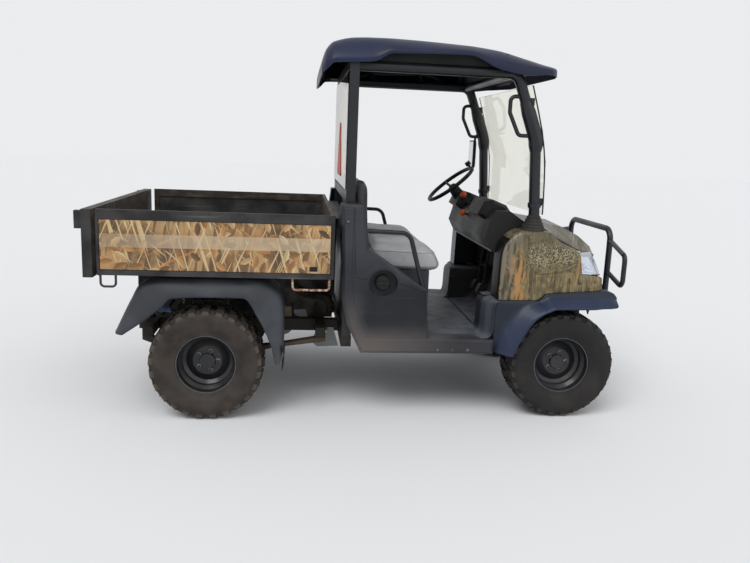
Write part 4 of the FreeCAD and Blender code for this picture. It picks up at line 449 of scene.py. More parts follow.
def both(build):
    """What build(side) gives for the right-hand side, -1, and the left-hand side, 1."""
    return [shape for side in (-1, 1) for shape in build(side)]


# The moulded body is charcoal polypropylene with a leather-like grain: side covers, floor, dash, rear mud
# guards and the seat box. The sun has greyed it in patches, and boots have scuffed the floor pale.


def recess_shade_and_sill_dirt(tree, place, base):
    """The sunk panel low on each side cover is darkened with painted shade, and the sill below and behind it
    is greyed brown by road dirt."""
    axes = axes_of(tree, place)
    share = count(tree, "GREATER_THAN", count(tree, "ABSOLUTE", axes["Y"]), 0.699)
    # Columns: axis, where the panel begins to darken and where it is dark
    for axis, begin, full in (("X", -0.08, 0.0), ("X", 0.36, 0.3), ("Z", 0.455, 0.56), ("Z", 0.80, 0.72)):
        share = times(tree, share, ramp(tree, axes[axis], begin, full))
    # Painted shade in the sunk panel: its faces are darkened most of the way to a blue-black.
    base = blend(tree, times(tree, share, 0.8), base, shade(14, 22, 28))
    grime = times(tree, ramp(tree, axes["Z"], 0.72, 0.40), ramp(tree, axes["X"], 0.50, -0.05))
    grime = times(tree, grime, count(tree, "SUBTRACT", 0.75, share, clamp=True))
    return blend(tree, grime, base, shade(104, 96, 91))


moulded = finish(
    "charcoal moulded plastic", shade(44, 45, 50), shade(58, 59, 64), 0.42, spread=0.16, grain=420.0,
    grain_depth=0.0004, dust=0.1, dust_top=0.85, scuff=0.2, patch=4.0, paint=recess_shade_and_sill_dirt,
)
dress(moulded, "side_covers", "seat_base", "bulkhead", "grille")

COVER_FACE = 0.7021
# Outlines in x and z of what stands proud on a side cover: the rear and sill border, and the upper panel,
# whose lower edge is a ledge that runs round the filler's recess
BORDER = (
    (-0.152, 1.160), (-0.101, 1.160), (-0.101, 0.800), (-0.084, 0.648), (-0.004, 0.457), (0.330, 0.457),
    (0.684, 0.443), (0.684, 0.388), (-0.030, 0.388), (-0.104, 0.536), (-0.136, 0.668), (-0.148, 1.045),
)
FILLER, RECESS = (0.070, 0.761), 0.086
sweep = np.radians(np.linspace(165, 4, 14))
ledge = [(FILLER[0] + RECESS * math.cos(a), FILLER[1] + RECESS * math.sin(a)) for a in sweep]
UPPER = [(-0.097, 1.160), (-0.066, 1.160), (-0.054, 1.140), (-0.026, 0.938), (0.136, 0.826), (0.292, 0.728)]
UPPER += [(0.290, 0.722)] + ledge[::-1] + [(-0.084, 0.796)]


def relief(side):
    """Both raised panels of one side cover: a step out, then a small bevel."""
    steps = ((0, COVER_FACE - 0.001), (0, COVER_FACE + 0.002), (0.003, COVER_FACE + 0.0045))
    outlines = (filleted(BORDER, 0.008), np.array(UPPER) if side < 0 else np.array(UPPER[:7] + [UPPER[-1]]))
    return [layered(outline, steps, side) for outline in outlines]


weld("cover_relief", both(relief), moulded, "chassis", soft_angle=30)

zinc = finish(
    "zinc plated bolts", shade(112, 112, 112), shade(78, 75, 72), 0.4, spread=0.2, metallic=0.8, patch=40.0,
    dust=0.1,
)
BOLT_HEAD = ((0.0085, 0), (0.0085, 0.002), (0.0072, 0.0042), (0.004, 0.0054), (0.0005, 0.0057))


def bolted(side):
    """The bolt heads that hold a side cover: one on its rear border and three along the sill."""
    spots = [(-0.131, 1.088), (0.382, 0.400), (0.466, 0.400), (0.550, 0.400)]
    return [turned(BOLT_HEAD, (x, side * (COVER_FACE + 0.0043), z), (0, side, 0), 14) for x, z in spots]


weld("cover_bolts", both(bolted), zinc, "chassis")
guard_plastic = finish(
    "greyed mud guard plastic", shade(50, 53, 58), shade(66, 69, 74), 0.4, spread=0.16, grain=420.0,
    grain_depth=0.0003, dust=0.14, dust_top=0.8, scuff=0.3, patch=5.0,
)
# The wheels' places, which the guards, tyres and rims share
FRONT_AXLE, REAR_AXLE, AXLE_Z, FRONT_HALF_TRACK, REAR_HALF_TRACK = 1.107, -0.863, 0.306, 0.570, 0.608
GUARD_OUT = 0.74
# The rear guard from its tail over the wheel. Columns: x and z of the crease, x and z of the lip
REAR_GUARD = np.array([
    (-1.327, 0.483, -1.314, 0.476), (-1.248, 0.650, -1.212, 0.545), (-1.195, 0.735, -1.114, 0.619),
    (-1.054, 0.770, -1.038, 0.681), (-0.830, 0.7715, -0.848, 0.690), (-0.609, 0.770, -0.658, 0.688),
    (-0.473, 0.685, -0.569, 0.574), (-0.455, 0.582, -0.499, 0.427), (-0.455, 0.410, -0.470, 0.317),
])


def along_rows(stations, many):
    """Stations made dense by the eased curve, spaced by the length of the line that their first two columns
    draw."""
    way = np.concatenate([[0], np.cumsum(np.linalg.norm(np.diff(stations[:, :2], axis=0), axis=1))])
    return eased(np.linspace(0, way[-1], many), way, stations)


def rear_guard(side):
    """One rear guard: an inner shelf, a rolled crease, a sloping flank and a turned-in lip, with a raised
    strip on top."""
    crease_x, crease_z, lip_x, lip_z = along_rows(REAR_GUARD, 90).T
    inner, shelf, crease, flank = 0.472, 0.62, 0.695, 0.722
    turned_x, turned_z = lip_x * 0.93 + REAR_AXLE * 0.07, lip_z * 0.96 + AXLE_Z * 0.04
    lines = [
        (crease_x, inner, crease_z), (crease_x, shelf, crease_z), (crease_x, crease, crease_z),
        (lip_x * 0.5 + crease_x * 0.5, flank, lip_z * 0.5 + crease_z * 0.5),
        (lip_x, GUARD_OUT - 0.0005, lip_z), (turned_x, GUARD_OUT - 0.003, turned_z),
        (turned_x, GUARD_OUT - 0.030, turned_z),
    ]
    grid = np.stack([np.stack(np.broadcast_arrays(x, side * y, z), -1) for x, y, z in lines], 1)
    strip = filleted([(-1.050, 0.535), (-0.612, 0.535), (-0.612, 0.655), (-1.050, 0.655)], 0.02)
    rings = [
        np.insert(drawn_in(strip, margin), 2, z, axis=1) * (1, side, 1)
        for margin, z in ((0, 0.7665), (0.002, 0.7705), (0.006, 0.7725))
    ]
    return [walled(rounded(grid), -0.004 * side), web(np.array(rings), caps=True)]


guards = weld("rear_guards", both(rear_guard), guard_plastic, "chassis", soft_angle=40)
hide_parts("rear_fenders")

# A black rubber flap hangs from each rear guard's front leg, held by two bolts.
flap_rubber = finish(
    "flap rubber", shade(18, 18, 19), shade(27, 27, 28), 0.6, grain=500.0, dust=0.15, dust_top=0.6,
)
FLAP_X, FLAP_TOP, FLAP_LENGTH, FLAP_BOW, FLAP_THICK = -0.462, 0.418, 0.135, 0.012, 0.004
FLAP_EDGES, FLAP_BOLTS = (0.520, 0.735), (0.56, 0.68)


def mud_flap(side):
    """One flap: a sheet that hangs from the leg's lip and bows forward in its middle, and two bolt heads."""
    drop = np.linspace(0, 1, 14)[:, None]
    across = np.linspace(*FLAP_EDGES, 8)[None, :]
    x = FLAP_X + FLAP_BOW * np.sin(drop * 3) + 0 * across
    z = FLAP_TOP - FLAP_LENGTH * drop + 0 * across
    heads = [turned(BOLT_HEAD, (-0.4555, side * y, 0.395), (1, 0, 0), 12) for y in FLAP_BOLTS]
    return [walled(np.stack([x, side * across + 0 * drop, z], -1), FLAP_THICK)] + heads


weld("mud_flaps", both(mud_flap), flap_rubber, "chassis")
dash_plastic = finish(
    "black dash plastic", shade(17, 18, 20), shade(27, 28, 30), 0.46, spread=0.2, grain=500.0,
    grain_depth=0.0004, dust=0.12, dust_top=1.3, scuff=0.2,
)
dress(dash_plastic, "dash_panel", "steering_column", "steering_wheel", "mirror", "fuel_cap", "pedals")

# A cone-shaped cover hides the steering column between the wheel's hub and the dash, and a grey lip runs
# along the dash's lower edge. The cover's profile gives the radius and the distance from the wheel's hub down
# the column.
HUB, COLUMN_WAY = (0.623, 0.330, 1.250), (0.629, 0, -0.777)
SHROUD = ((0.024, 0.028), (0.034, 0.034), (0.040, 0.09), (0.050, 0.17), (0.050, 0.24))
LIP_X, LIP_HALF, LIP_Z, LIP_RADIUS = 0.700, 0.492, 0.928, 0.008
shroud = turned(SHROUD, HUB, COLUMN_WAY, 28)
weld("column_shroud", [shroud], dash_plastic, "chassis", soft_angle=50)
lip_plastic = finish(
    "grey dash lip", shade(84, 86, 88), shade(104, 106, 108), 0.45, grain=300.0, dust=0.1, scuff=0.3,
)
lip = tube([(LIP_X, y, LIP_Z) for y in (-LIP_HALF, 0, LIP_HALF)], LIP_RADIUS, 10)
weld("dash_lip", [lip], lip_plastic, "chassis")


def trodden_and_shaded(tree, place, base):
    """The floor where shoes go: paler and greyer towards the middle of each foot well. Between the wheel
    wells, the front of the foot well under the dash and the upright faces there are darkened with painted
    shade.
    """
    worn = use(tree, patches, Vector=place, Scale=9.0, Detail=6.0, Low=0.3, High=0.62)
    up = axes_of(tree, put(tree, "ShaderNodeNewGeometry").outputs["Normal"])["Z"]
    share = times(tree, worn, 0.75, count(tree, "MAXIMUM", up, 0.0))
    base = blend(tree, share, base, shade(96, 100, 108))
    # Painted shade: near black towards the toe board under the dash, and on upright faces, between the wheel
    # wells.
    ahead = axes_of(tree, place)["X"]
    shade_toward_dash = ramp(tree, ahead, 0.66, 0.90)
    upright = ramp(tree, up, 0.9, 0.5)
    inner = count(tree, "LESS_THAN", count(tree, "ABSOLUTE", axes_of(tree, place)["Y"]), 0.5)
    dark = times(tree, inner, count(tree, "MAXIMUM", times(tree, shade_toward_dash, 0.6), upright))
    return blend(tree, times(tree, dark, 0.85), base, shade(10, 12, 15))


floor_plastic = finish(
    "trodden floor plastic", shade(52, 56, 63), shade(68, 73, 81), 0.5, spread=0.2, grain=420.0,
    grain_depth=0.0005, dust=0.08, dust_top=0.9, scuff=0.4, paint=trodden_and_shaded,
)
FLOOR_Z, FLOOR_HALF, FLOOR_THICK, HUMP_HEIGHT, WELL_Y, WELL_TOP = 0.4542, 0.5815, 0.003, 0.149, 0.395, 0.6695
# Where the toe board begins to rise and where it is steepest, in x and z. The wheel wells' lower edge follows
# it.
TOE = ((0.786, FLOOR_Z), (0.812, 0.468), (0.915, 0.612))


def stepped(value, low, high):
    """0 up to low and 1 from high on, with a level start and end between: 3 t^2 - 2 t^3."""
    t = np.clip((value - low) / (high - low), 0, 1)
    return t * t * (3 - 2 * t)


def floor_plate():
    """The flat floor between the covers, with a low hump over the drive shaft where it leaves the seat box,
    and the narrower part between the wheel wells, which slopes up at its front into the toe board."""
    x = np.linspace(-0.0905, 0.668, 60)[:, None] + np.zeros(60)
    y = np.linspace(-FLOOR_HALF, FLOOR_HALF, 60) + np.zeros((60, 1))
    hump = HUMP_HEIGHT * (1 - stepped(x, 0.350, 0.440)) * (1 - stepped(np.abs(y), 0.085, 0.125)) * (x > 0.33)
    rear = np.stack([x, y, FLOOR_Z + hump], -1)
    line = rounded(np.array([(0.660, FLOOR_Z), *TOE, (0.925, 0.905)]), 3)
    across = np.linspace(-WELL_Y, WELL_Y, 24)
    toe = np.stack([line[:, :1] + 0 * across, across + 0 * line[:, :1], line[:, 1:] + 0 * across], -1)
    return [walled(rear, FLOOR_THICK), walled(toe, FLOOR_THICK)]


def wheel_well(side):
    """The moulding over a front wheel's inner corner: a kick panel that leaves the floor on a hollow curve
    and rises to the guard, and behind it the well's upright side and its lid under the cowl."""
    line = rounded(np.array([
        (0.596, FLOOR_Z + 0.002), (0.634, FLOOR_Z + 0.0025), (0.657, 0.474), (0.6632, 0.515), (0.6638, 0.590),
        (0.667, 0.648), (0.689, 0.665), (0.729, WELL_TOP),
    ]), 3)
    across = np.linspace(WELL_Y - 0.002, 0.667, 30)
    room = np.clip((0.729 - line[:, :1]) / 0.065, 0, 1)
    x = line[:, :1] + 0.034 * room * stepped(across, 0.590, 0.650)
    kick = np.stack([x, side * across + 0 * x, line[:, 1:] + 0 * x], -1)
    corners = [(WELL_Y, FLOOR_Z), (WELL_Y, 0.650), (WELL_Y + 0.016, WELL_TOP), (0.505, WELL_TOP)]
    over = rounded(np.array(corners), 3)
    along = np.linspace(0.668, 0.915, 12)[:, None]
    low = np.interp(along, *zip(*TOE))
    up = low + (over[:, 1] - FLOOR_Z) * (WELL_TOP - low) / (WELL_TOP - FLOOR_Z)
    lid = np.stack([along + 0 * up, side * over[:, 0] + 0 * along, up], -1)
    wide, tall = np.linspace(WELL_Y, 0.498, 6)[:, None], np.linspace(WELL_TOP, 0.9, 6)
    wall = np.stack(np.broadcast_arrays(0.918, side * wide, tall), -1)
    return [walled(kick, -FLOOR_THICK * side), walled(lid, FLOOR_THICK * side), walled(wall, FLOOR_THICK)]


floor_shapes = floor_plate() + both(wheel_well)
cab_floor = weld("cab_floor", floor_shapes, floor_plastic, "chassis", soft_angle=60)
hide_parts("floor_pan")

# Two pedals hang under the dash: flat pads with ribs on bent arms.
BRAKE_Y, THROTTLE_Y = 0.26, 0.12
PAD_X, PAD_Z, PAD_SLOPE, PAD_HALF_WIDTH, PAD_HALF_HEIGHT = 0.812, 0.585, 0.45, 0.034, 0.030
RIB_X, RIB_HALF_WIDTH = 0.800, 0.028


def pedal(y):
    """One hanging pedal: an arm bent forward from the dash's underside, and a sloping pad with three ribs."""
    arm = rounded(np.array([(0.880, y, 0.900), (0.850, y, 0.760), (0.842, y, 0.620), (0.818, y, 0.590)]), 3)
    wide, tall = PAD_HALF_WIDTH, PAD_HALF_HEIGHT
    pad = filleted([(-wide, -tall), (wide, -tall), (wide, tall), (-wide, tall)], 0.008)
    rings = []
    for margin, out in ((0.003, 0.004), (0, 0), (0, -0.008), (0.003, -0.011)):
        flat = drawn_in(pad, margin)
        rings.append(np.stack([PAD_X + out + flat[:, 1] * PAD_SLOPE, y + flat[:, 0], PAD_Z + flat[:, 1]], 1))
    ribs = []
    for up in (-0.018, 0.0, 0.018):
        ends = [(RIB_X + up * PAD_SLOPE, y + way * RIB_HALF_WIDTH, PAD_Z + up) for way in (-1, 1)]
        ribs.append(tube(ends, 0.0025, 6))
    return [tube(arm, 0.007, 8), web(np.array(rings), caps=True)] + ribs


pedal_pair = weld(
    "hanging_pedals", pedal(BRAKE_Y) + pedal(THROTTLE_Y), dash_plastic, "chassis",
)
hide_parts("pedals")

# The canopy and the front mud guards are the same plastic in a dark navy with a soft sheen, smoother than the
# rest.


def shaded_under(tree, place, base):
    """Painted shade: faces that look down, the bare back of the canopy's moulding, are painted near black."""
    facing = axes_of(tree, put(tree, "ShaderNodeNewGeometry").outputs["True Normal"])["Z"]
    under = ramp(tree, facing, -0.1, -0.35)
    return blend(tree, under, base, shade(16, 17, 19))


roof_plastic = finish(
    "navy canopy plastic", shade(18, 27, 50), shade(23, 34, 62), 0.34, spread=0.12, grain=500.0,
    grain_depth=0.0002, dust=0.04, dust_top=2.4, scuff=0.12, paint=shaded_under,
)
CROWN, ROOF_WALL, SKIRT_CREASE = 0.008, 0.005, 0.74
# Columns: x, half width, height of the side edge, width of the shoulder, height of the top, depth of the
# skirt
ROOF = np.array([
    (-0.284, 0.590, 1.876, 0.070, 1.902, 0.034), (-0.262, 0.626, 1.898, 0.105, 1.972, 0.040),
    (-0.221, 0.640, 1.924, 0.130, 2.016, 0.030), (-0.108, 0.648, 1.930, 0.150, 2.044, 0.030),
    (-0.016, 0.650, 1.938, 0.150, 2.048, 0.030), (0.075, 0.650, 1.975, 0.150, 2.047, 0.024),
    (0.476, 0.650, 1.984, 0.150, 2.030, 0.022), (0.640, 0.650, 1.940, 0.145, 2.016, 0.038),
    (0.803, 0.640, 1.918, 0.130, 1.978, 0.040), (0.925, 0.610, 1.920, 0.100, 1.946, 0.030),
    (0.985, 0.545, 1.922, 0.070, 1.938, 0.030), (1.015, 0.430, 1.922, 0.050, 1.937, 0.034),
])
run = np.concatenate([np.linspace(-0.284, -0.222, 12), np.linspace(-0.215, 1.015, 72)])
half, edge, shoulder, top, skirt = eased(run, ROOF[:, 0], ROOF[:, 1:]).T
right_half = [
    (half, edge - skirt), (half, edge), (half - shoulder * 0.45, edge + (top - edge) * SKIRT_CREASE),
    (half - shoulder, top), (half * 0.4, top + CROWN), (half * 0, top + CROWN),
]
arch = np.stack([np.stack([run, y, z], -1) for y, z in right_half], 1)
arch = rounded(np.concatenate([arch * (1, -1, 1), arch[:, -2::-1]], 1), 2)
# The two end walls close the arch above its lower edge
ends = [
    web(np.stack([row, row + (into, 0, 0)]), caps=True)
    for row, into in ((arch[0], 0.004), (arch[-1], -0.004))
]
canopy = weld(
    "canopy_shell", [walled(arch, -ROOF_WALL)] + ends, roof_plastic, "chassis", soft_angle=32,
)
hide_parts("roof_panel")

# Under the canopy a black strip closes each side down to the hoop's rail, and rubber mounts stand between the
# two.
strip_plastic = finish(
    "black canopy lining", shade(24, 25, 25), shade(36, 37, 36), 0.5, dust=0.05, scuff=0.05,
)
RAIL_TOP, MOUNT_Y, MOUNTS_X, MOUNT_GAP = 1.9243, 0.56, (0.090, 0.420, 0.690), 0.0015


def lining(side):
    """One side strip from the skirt's lower edge in to the top of the rail, and its three rubber mounts."""
    where = np.linspace(-0.19, 0.745, 40)
    wide, low = (np.interp(where, run, values) for values in (half - 0.006, edge - skirt + 0.003))
    share = np.linspace(0, 1, 7)[None, :]
    y = wide[:, None] * (1 - share) + 0.588 * share
    z = low[:, None] * (1 - share) + 1.917 * share + 0.006 * np.sin(share * math.pi)
    strip = walled(np.stack([where[:, None] + 0 * y, side * y, z], -1), 0.003)
    foot = ((0.019, 0), (0.019, 0.004), (0.013, 0.010), (0.013, 0.030))
    mounts = []
    for x in MOUNTS_X:
        row = arch[np.abs(run - x).argmin()]
        height = np.interp(MOUNT_Y, row[:, 1], row[:, 2]) - ROOF_WALL - MOUNT_GAP - RAIL_TOP
        head = ((0.013, height - 0.008), (0.018, height - 0.003), (0.018, height))
        mounts.append(turned(foot + head, (x, side * MOUNT_Y, RAIL_TOP), (0, 0, 1), 20))
    return [strip] + mounts


weld("canopy_lining", both(lining), strip_plastic, "chassis", soft_angle=50)


def flare_highlight(tree, place, base):
    """A painted highlight: the band along the wheel arch, which catches more light than the shelf above it,
    is painted a lighter, bluer navy."""
    across = axes_of(tree, place)["Y"]
    out = ramp(tree, count(tree, "ABSOLUTE", across), 0.668, 0.692)
    # Painted highlight on the outer band of the guard.
    return blend(tree, out, base, shade(31, 42, 66))


fender_plastic = finish(
    "navy mud guard plastic", shade(24, 31, 42), shade(32, 41, 55), 0.36, spread=0.14, coat=0.1, grain=500.0,
    grain_depth=0.0002, dust=0.06, dust_top=0.8, scuff=0.2, paint=flare_highlight,
)
# The front guard from its nose back and down to the sill. Columns: x and z of the shelf's edge, x and z of
# the lip, share of the way to the lip where the crease lies, y of the shelf's inner edge
FRONT_GUARD = np.array([
    (1.401, 0.700, 1.382, 0.664, 0.30, 0.600), (1.380, 0.724, 1.350, 0.660, 0.30, 0.600),
    (1.324, 0.7375, 1.306, 0.658, 0.30, 0.600), (1.282, 0.733, 1.250, 0.652, 0.30, 0.600),
    (0.994, 0.713, 1.033, 0.648, 0.25, 0.600), (0.947, 0.674, 0.985, 0.632, 0.20, 0.610),
    (0.880, 0.673, 0.914, 0.588, 0.25, 0.650), (0.790, 0.672, 0.843, 0.487, 0.40, 0.650),
    (0.716, 0.671, 0.804, 0.410, 0.50, 0.650), (0.7003, 0.560, 0.796, 0.392, 0.36, 0.650),
    (0.7003, 0.470, 0.790, 0.378, 0.25, 0.650), (0.7003, 0.380, 0.784, 0.372, 0.10, 0.650),
])


def front_guard_shell(side):
    """One front guard: a shelf under the cowl, a side wall, a rolled crease, and a flare out to a turned-in
    lip."""
    top_x, top_z, lip_x, lip_z, share, inner = along_rows(FRONT_GUARD, 110).T
    crease_x, crease_z = top_x + (lip_x - top_x) * share, top_z + (lip_z - top_z) * share
    turned_x, turned_z = lip_x * 0.95 + FRONT_AXLE * 0.05, lip_z * 0.97 + AXLE_Z * 0.03
    lines = [
        (top_x, inner, top_z), (top_x, 0.660, top_z),
        (top_x * 0.7 + crease_x * 0.3, 0.6665, top_z * 0.7 + crease_z * 0.3), (crease_x, 0.669, crease_z),
        (crease_x * 0.5 + lip_x * 0.5, 0.706, crease_z * 0.5 + lip_z * 0.5),
        (lip_x, GUARD_OUT - 0.0005, lip_z), (turned_x, GUARD_OUT - 0.002, turned_z),
        (turned_x, GUARD_OUT - 0.026, turned_z),
    ]
    grid = np.stack([np.stack(np.broadcast_arrays(x, side * y, z), -1) for x, y, z in lines], 1)
    return [walled(rounded(grid), 0.004 * side)]


front = weld(
    "front_guards", both(front_guard_shell), fender_plastic, "chassis", soft_angle=40,
)
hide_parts("front_fenders")

# The bed is folded steel plate. Outside it is worn black paint, with grey where the top rail has been rubbed.
# Inside, loads have scraped it to a brown-black with thin bright scratches and a bloom of rust.


def scraped(tree, place, base):
    """Brown-black inside the side walls and above the floor, and black outside."""
    axes = axes_of(tree, place)
    inside = count(tree, "LESS_THAN", count(tree, "ABSOLUTE", axes["Y"]), 0.7325)
    above = count(tree, "GREATER_THAN", axes["Z"], 0.8)
    share = times(tree, inside, above)
    drawn = put(tree, "ShaderNodeMapping", {"Vector": place, "Scale": (7, 16, 16)}).outputs[0]
    rust = use(tree, patches, Vector=drawn, Scale=1.4, Detail=8.0, Low=0.4, High=0.74)
    scoured = blend(tree, rust, shade(46, 41, 37), shade(86, 76, 67))
    return blend(tree, share, base, scoured)


bed_paint = finish(
    "scraped bed paint", shade(34, 34, 35), shade(58, 58, 59), 0.48, spread=0.2, patch=7.0, grain=300.0,
    grain_depth=0.0005, dust=0.3, dust_top=1.4, scuff=0.5, scuff_colour=shade(120, 116, 110), paint=scraped,
)
dress(bed_paint, "bed_floor", "bed_front_wall", "bed_sides", "tailgate")

# The tie-down loops are bent wire: their paint has gone, and they are cream and rust in front, black behind.


def flaked(tree, place, base):
    """Black paint behind the middle of the bed, and flaked cream paint over rust in front of it."""
    along = axes_of(tree, place)["X"]
    front = count(tree, "GREATER_THAN", along, -0.8)
    rust = use(tree, patches, Vector=place, Scale=60.0, Detail=4.0, Low=0.4, High=0.56)
    return blend(tree, front, base, blend(tree, rust, shade(186, 168, 150), shade(126, 82, 58)))


hook_steel = finish(
    "flaked wire", shade(40, 40, 42), shade(56, 54, 52), 0.5, grain=300.0, dust=0.2, scuff=0.2, paint=flaked,
)
dress(hook_steel, "tie_hooks")

# Rims are pressed steel in dark grey enamel, dulled by brake dust. The tyres' rubber is brown-black with
# dried mud between the lugs.


def from_hub(tree, place):
    """A point's distance from its own axle's line, 1 for the rear wheels or 0, and its distance across the
    wheel."""
    axes = axes_of(tree, place)
    rear = count(tree, "LESS_THAN", axes["X"], 0)
    axle = count(tree, "MULTIPLY_ADD", rear, REAR_AXLE - FRONT_AXLE, FRONT_AXLE)
    ahead = count(tree, "SUBTRACT", axes["X"], axle)
    up = count(tree, "SUBTRACT", axes["Z"], AXLE_Z)
    squares = count(tree, "ADD", times(tree, ahead, ahead), times(tree, up, up))
    middle = count(tree, "MULTIPLY_ADD", rear, REAR_HALF_TRACK - FRONT_HALF_TRACK, FRONT_HALF_TRACK)
    across = count(tree, "ABSOLUTE", count(tree, "SUBTRACT", count(tree, "ABSOLUTE", axes["Y"]), middle))
    return count(tree, "SQRT", squares), rear, across


def rim_lip_highlight(tree, place, base):
    """A painted highlight along the rim's outer lip: a pale bluish grey ring, broken up in patches."""
    reach, _, _ = from_hub(tree, place)
    edge = ramp(tree, reach, 0.1535, 0.157)
    highlight_breakup = use(tree, patches, Vector=place, Scale=40.0, Detail=3.0, Low=0.3, High=0.6)
    share = times(tree, edge, count(tree, "MULTIPLY_ADD", highlight_breakup, 0.5, 0.5))
    # Painted highlight on the rim's lip.
    return blend(tree, share, base, shade(104, 108, 114))


rim_enamel = finish(
    "dark grey rim enamel", shade(34, 36, 41), shade(48, 50, 56), 0.3, spread=0.2, metallic=0.3, coat=0.3,
    grain=240.0, grain_depth=0.0003, dust=0.14, dust_top=0.75, scuff=0.2, paint=rim_lip_highlight,
)
dress(rim_enamel, *(f"rim_{end}_{side}" for end in ("front", "rear") for side in ("left", "right")))


def mud_and_block_highlight(tree, place, base):
    """The rear tyres are browner with dried mud than the front ones. Blocks that stand proud of the side wall
    are painted paler as a highlight, more on the rear tyres than the front."""
    reach, rear, across = from_hub(tree, place)
    caked = use(tree, patches, Vector=place, Scale=11.0, Detail=5.0, Low=0.3, High=0.7)
    mud = times(tree, rear, count(tree, "MULTIPLY_ADD", caked, 0.26, 0.1))
    base = blend(tree, mud, base, shade(92, 80, 70))
    side_wall = ramp(tree, reach, 0.258, 0.2855, 0.1265, 0.113)
    lit_blocks = count(tree, "GREATER_THAN", across, side_wall)
    beyond = count(tree, "GREATER_THAN", reach, 0.256)
    # Painted highlight: the raised side blocks are painted paler.
    worn = times(tree, lit_blocks, beyond, count(tree, "MULTIPLY_ADD", rear, 0.12, 0.1))
    return blend(tree, worn, base, shade(124, 114, 104))


tyre_rubber = finish(
    "dusty tyre rubber", shade(25, 25, 27), shade(34, 33, 34), 0.58, spread=0.16, patch=9.0, grain=700.0,
    grain_depth=0.0005, dust=0.1, dust_top=0.9, scuff=0.1, paint=mud_and_block_highlight,
)

TYRE_RADIUS, TREAD_RADIUS = 0.3055, 0.2905
# Half the tyre's section from the rim up: distance from the middle and radius
SIDE = [
    (0.1010, 0.157), (0.1090, 0.163), (0.1105, 0.174), (0.1175, 0.190), (0.1190, 0.193), (0.1235, 0.214),
    (0.1262, 0.236), (0.1255, 0.252), (0.1225, 0.266), (0.1150, 0.278), (0.1020, 0.2855), (0.070, 0.2895),
    (0.0, TREAD_RADIUS),
]
SHOULDER_COUNT = 25
# The blocks' outlines: run round the tread and distance from the tyre's middle. The crown and side blocks
# stand on the curved shoulder, so their corners have radii of their own.
CROWN_LUG = [
    (-0.021, 0.083), (-0.008, 0.078), (0.020, 0.083), (0.026, 0.104), (0.017, 0.119), (-0.017, 0.119),
    (-0.026, 0.104),
]
CROWN_TOP = [0.3035, 0.304, 0.3035, 0.301, 0.291, 0.291, 0.301]
SIDE_LUG = [
    (-0.017, 0.1085), (0.017, 0.1085), (0.022, 0.117), (0.012, 0.1215), (0.0, 0.123), (-0.012, 0.1215),
    (-0.022, 0.117),
]
SIDE_TOP = np.array([0.290, 0.290, 0.281, 0.266, 0.259, 0.266, 0.281])
BETWEEN_LUG = [(-0.013, 0.090), (0.013, 0.090), (0.016, 0.110), (-0.016, 0.110)]
INNER_LUG = [
    (-0.024, 0.047), (-0.010, 0.040), (0.014, 0.040), (0.024, 0.050), (0.018, 0.070), (-0.016, 0.072),
]
HEART_LUG = [
    (-0.020, -0.021), (0.002, -0.028), (0.020, -0.018), (0.022, 0.016), (0.0, 0.027), (-0.022, 0.018),
]


def lugs(outline, low, high, taper, count_round, phase):
    """A ring of blocks: an outline of (run round the tread, across) drawn in a little from its low to its
    high radius."""
    outline = np.array(outline, float)
    middle = outline.mean(0)
    top = middle + (outline - middle) * taper
    many = len(outline)
    run = np.concatenate([outline[:, 0], top[:, 0]]) / TYRE_RADIUS
    across = np.concatenate([outline[:, 1], top[:, 1]])
    radius = np.concatenate([np.broadcast_to(low, many), np.broadcast_to(high, many)])
    turns = (np.arange(count_round) + phase)[:, None] * 2 * math.pi / count_round + run
    axes = [radius * np.sin(turns), np.broadcast_to(across, turns.shape), radius * np.cos(turns)]
    first = (np.arange(count_round) * 2 * many)[:, None]
    sides = [[k, (k + 1) % many, many + (k + 1) % many, many + k] for k in range(many)]
    walls = np.concatenate([first + np.array(side) for side in sides]).tolist()
    tops = (first + np.arange(many, 2 * many)).tolist()
    return np.stack(axes, -1).reshape(-1, 3), walls + tops


def tyre():
    """Carcass and tread about the Y axis at the origin. The outer lugs run down the side in diamonds, as on a
    trail tyre."""
    section = np.array(SIDE + [(-y, r) for y, r in SIDE[-2::-1]])
    angle = np.linspace(0, 2 * math.pi, 120, endpoint=False)
    grid = np.stack([
        section[:, 1, None] * np.sin(angle), np.broadcast_to(section[:, 0, None], (len(section), 120)),
        section[:, 1, None] * np.cos(angle),
    ], -1)
    liner = grid[[0, -1]] * np.array([0.985, 1, 0.985])
    shapes = [web(np.concatenate([liner[:1], grid, liner[1:]]), round_rows=True)]
    for side in (-1, 1):
        # Columns: outline, low and high radius, taper, and the share of a step by which the ring is turned
        for outline, low, high, taper, phase in (
            (CROWN_LUG, 0.280, CROWN_TOP, 0.9, 0), (SIDE_LUG, SIDE_TOP - 0.002, SIDE_TOP, 1.0, 0),
            (BETWEEN_LUG, 0.279, [0.299, 0.299, 0.294, 0.294], 0.85, 0.5),
            (INNER_LUG, 0.285, 0.305, 0.9, 0.25 + 0.25 * side),
        ):
            shapes.append(lugs([(x, side * y) for x, y in outline], low, high, taper, SHOULDER_COUNT, phase))
    shapes.append(lugs(HEART_LUG, 0.286, TYRE_RADIUS, 0.9, SHOULDER_COUNT + 2, 0))
    return shapes


def moved(shapes, offset):
    """Shapes carried to another place."""
    return [(points + np.array(offset), faces) for points, faces in shapes]


tyre_shapes = tyre()
NUTS, NUT_RING, NUT_SEAT = 5, 0.056, 0.024
# A nut's profile: radius and distance outwards from its seat
NUT = ((0.0125, 0), (0.0125, 0.003), (0.0095, 0.005), (0.0095, 0.018), (0.006, 0.022))
# The nuts' base colour is painted bright as a glint of light, since their metal would show only the dark
# surroundings.
glinting_nut_steel = finish(
    "nut steel with a painted glint", shade(168, 166, 160), shade(140, 130, 116), 0.32, metallic=0.35, dust=0.03, scuff=0.1,
    gloss=0.5,
)
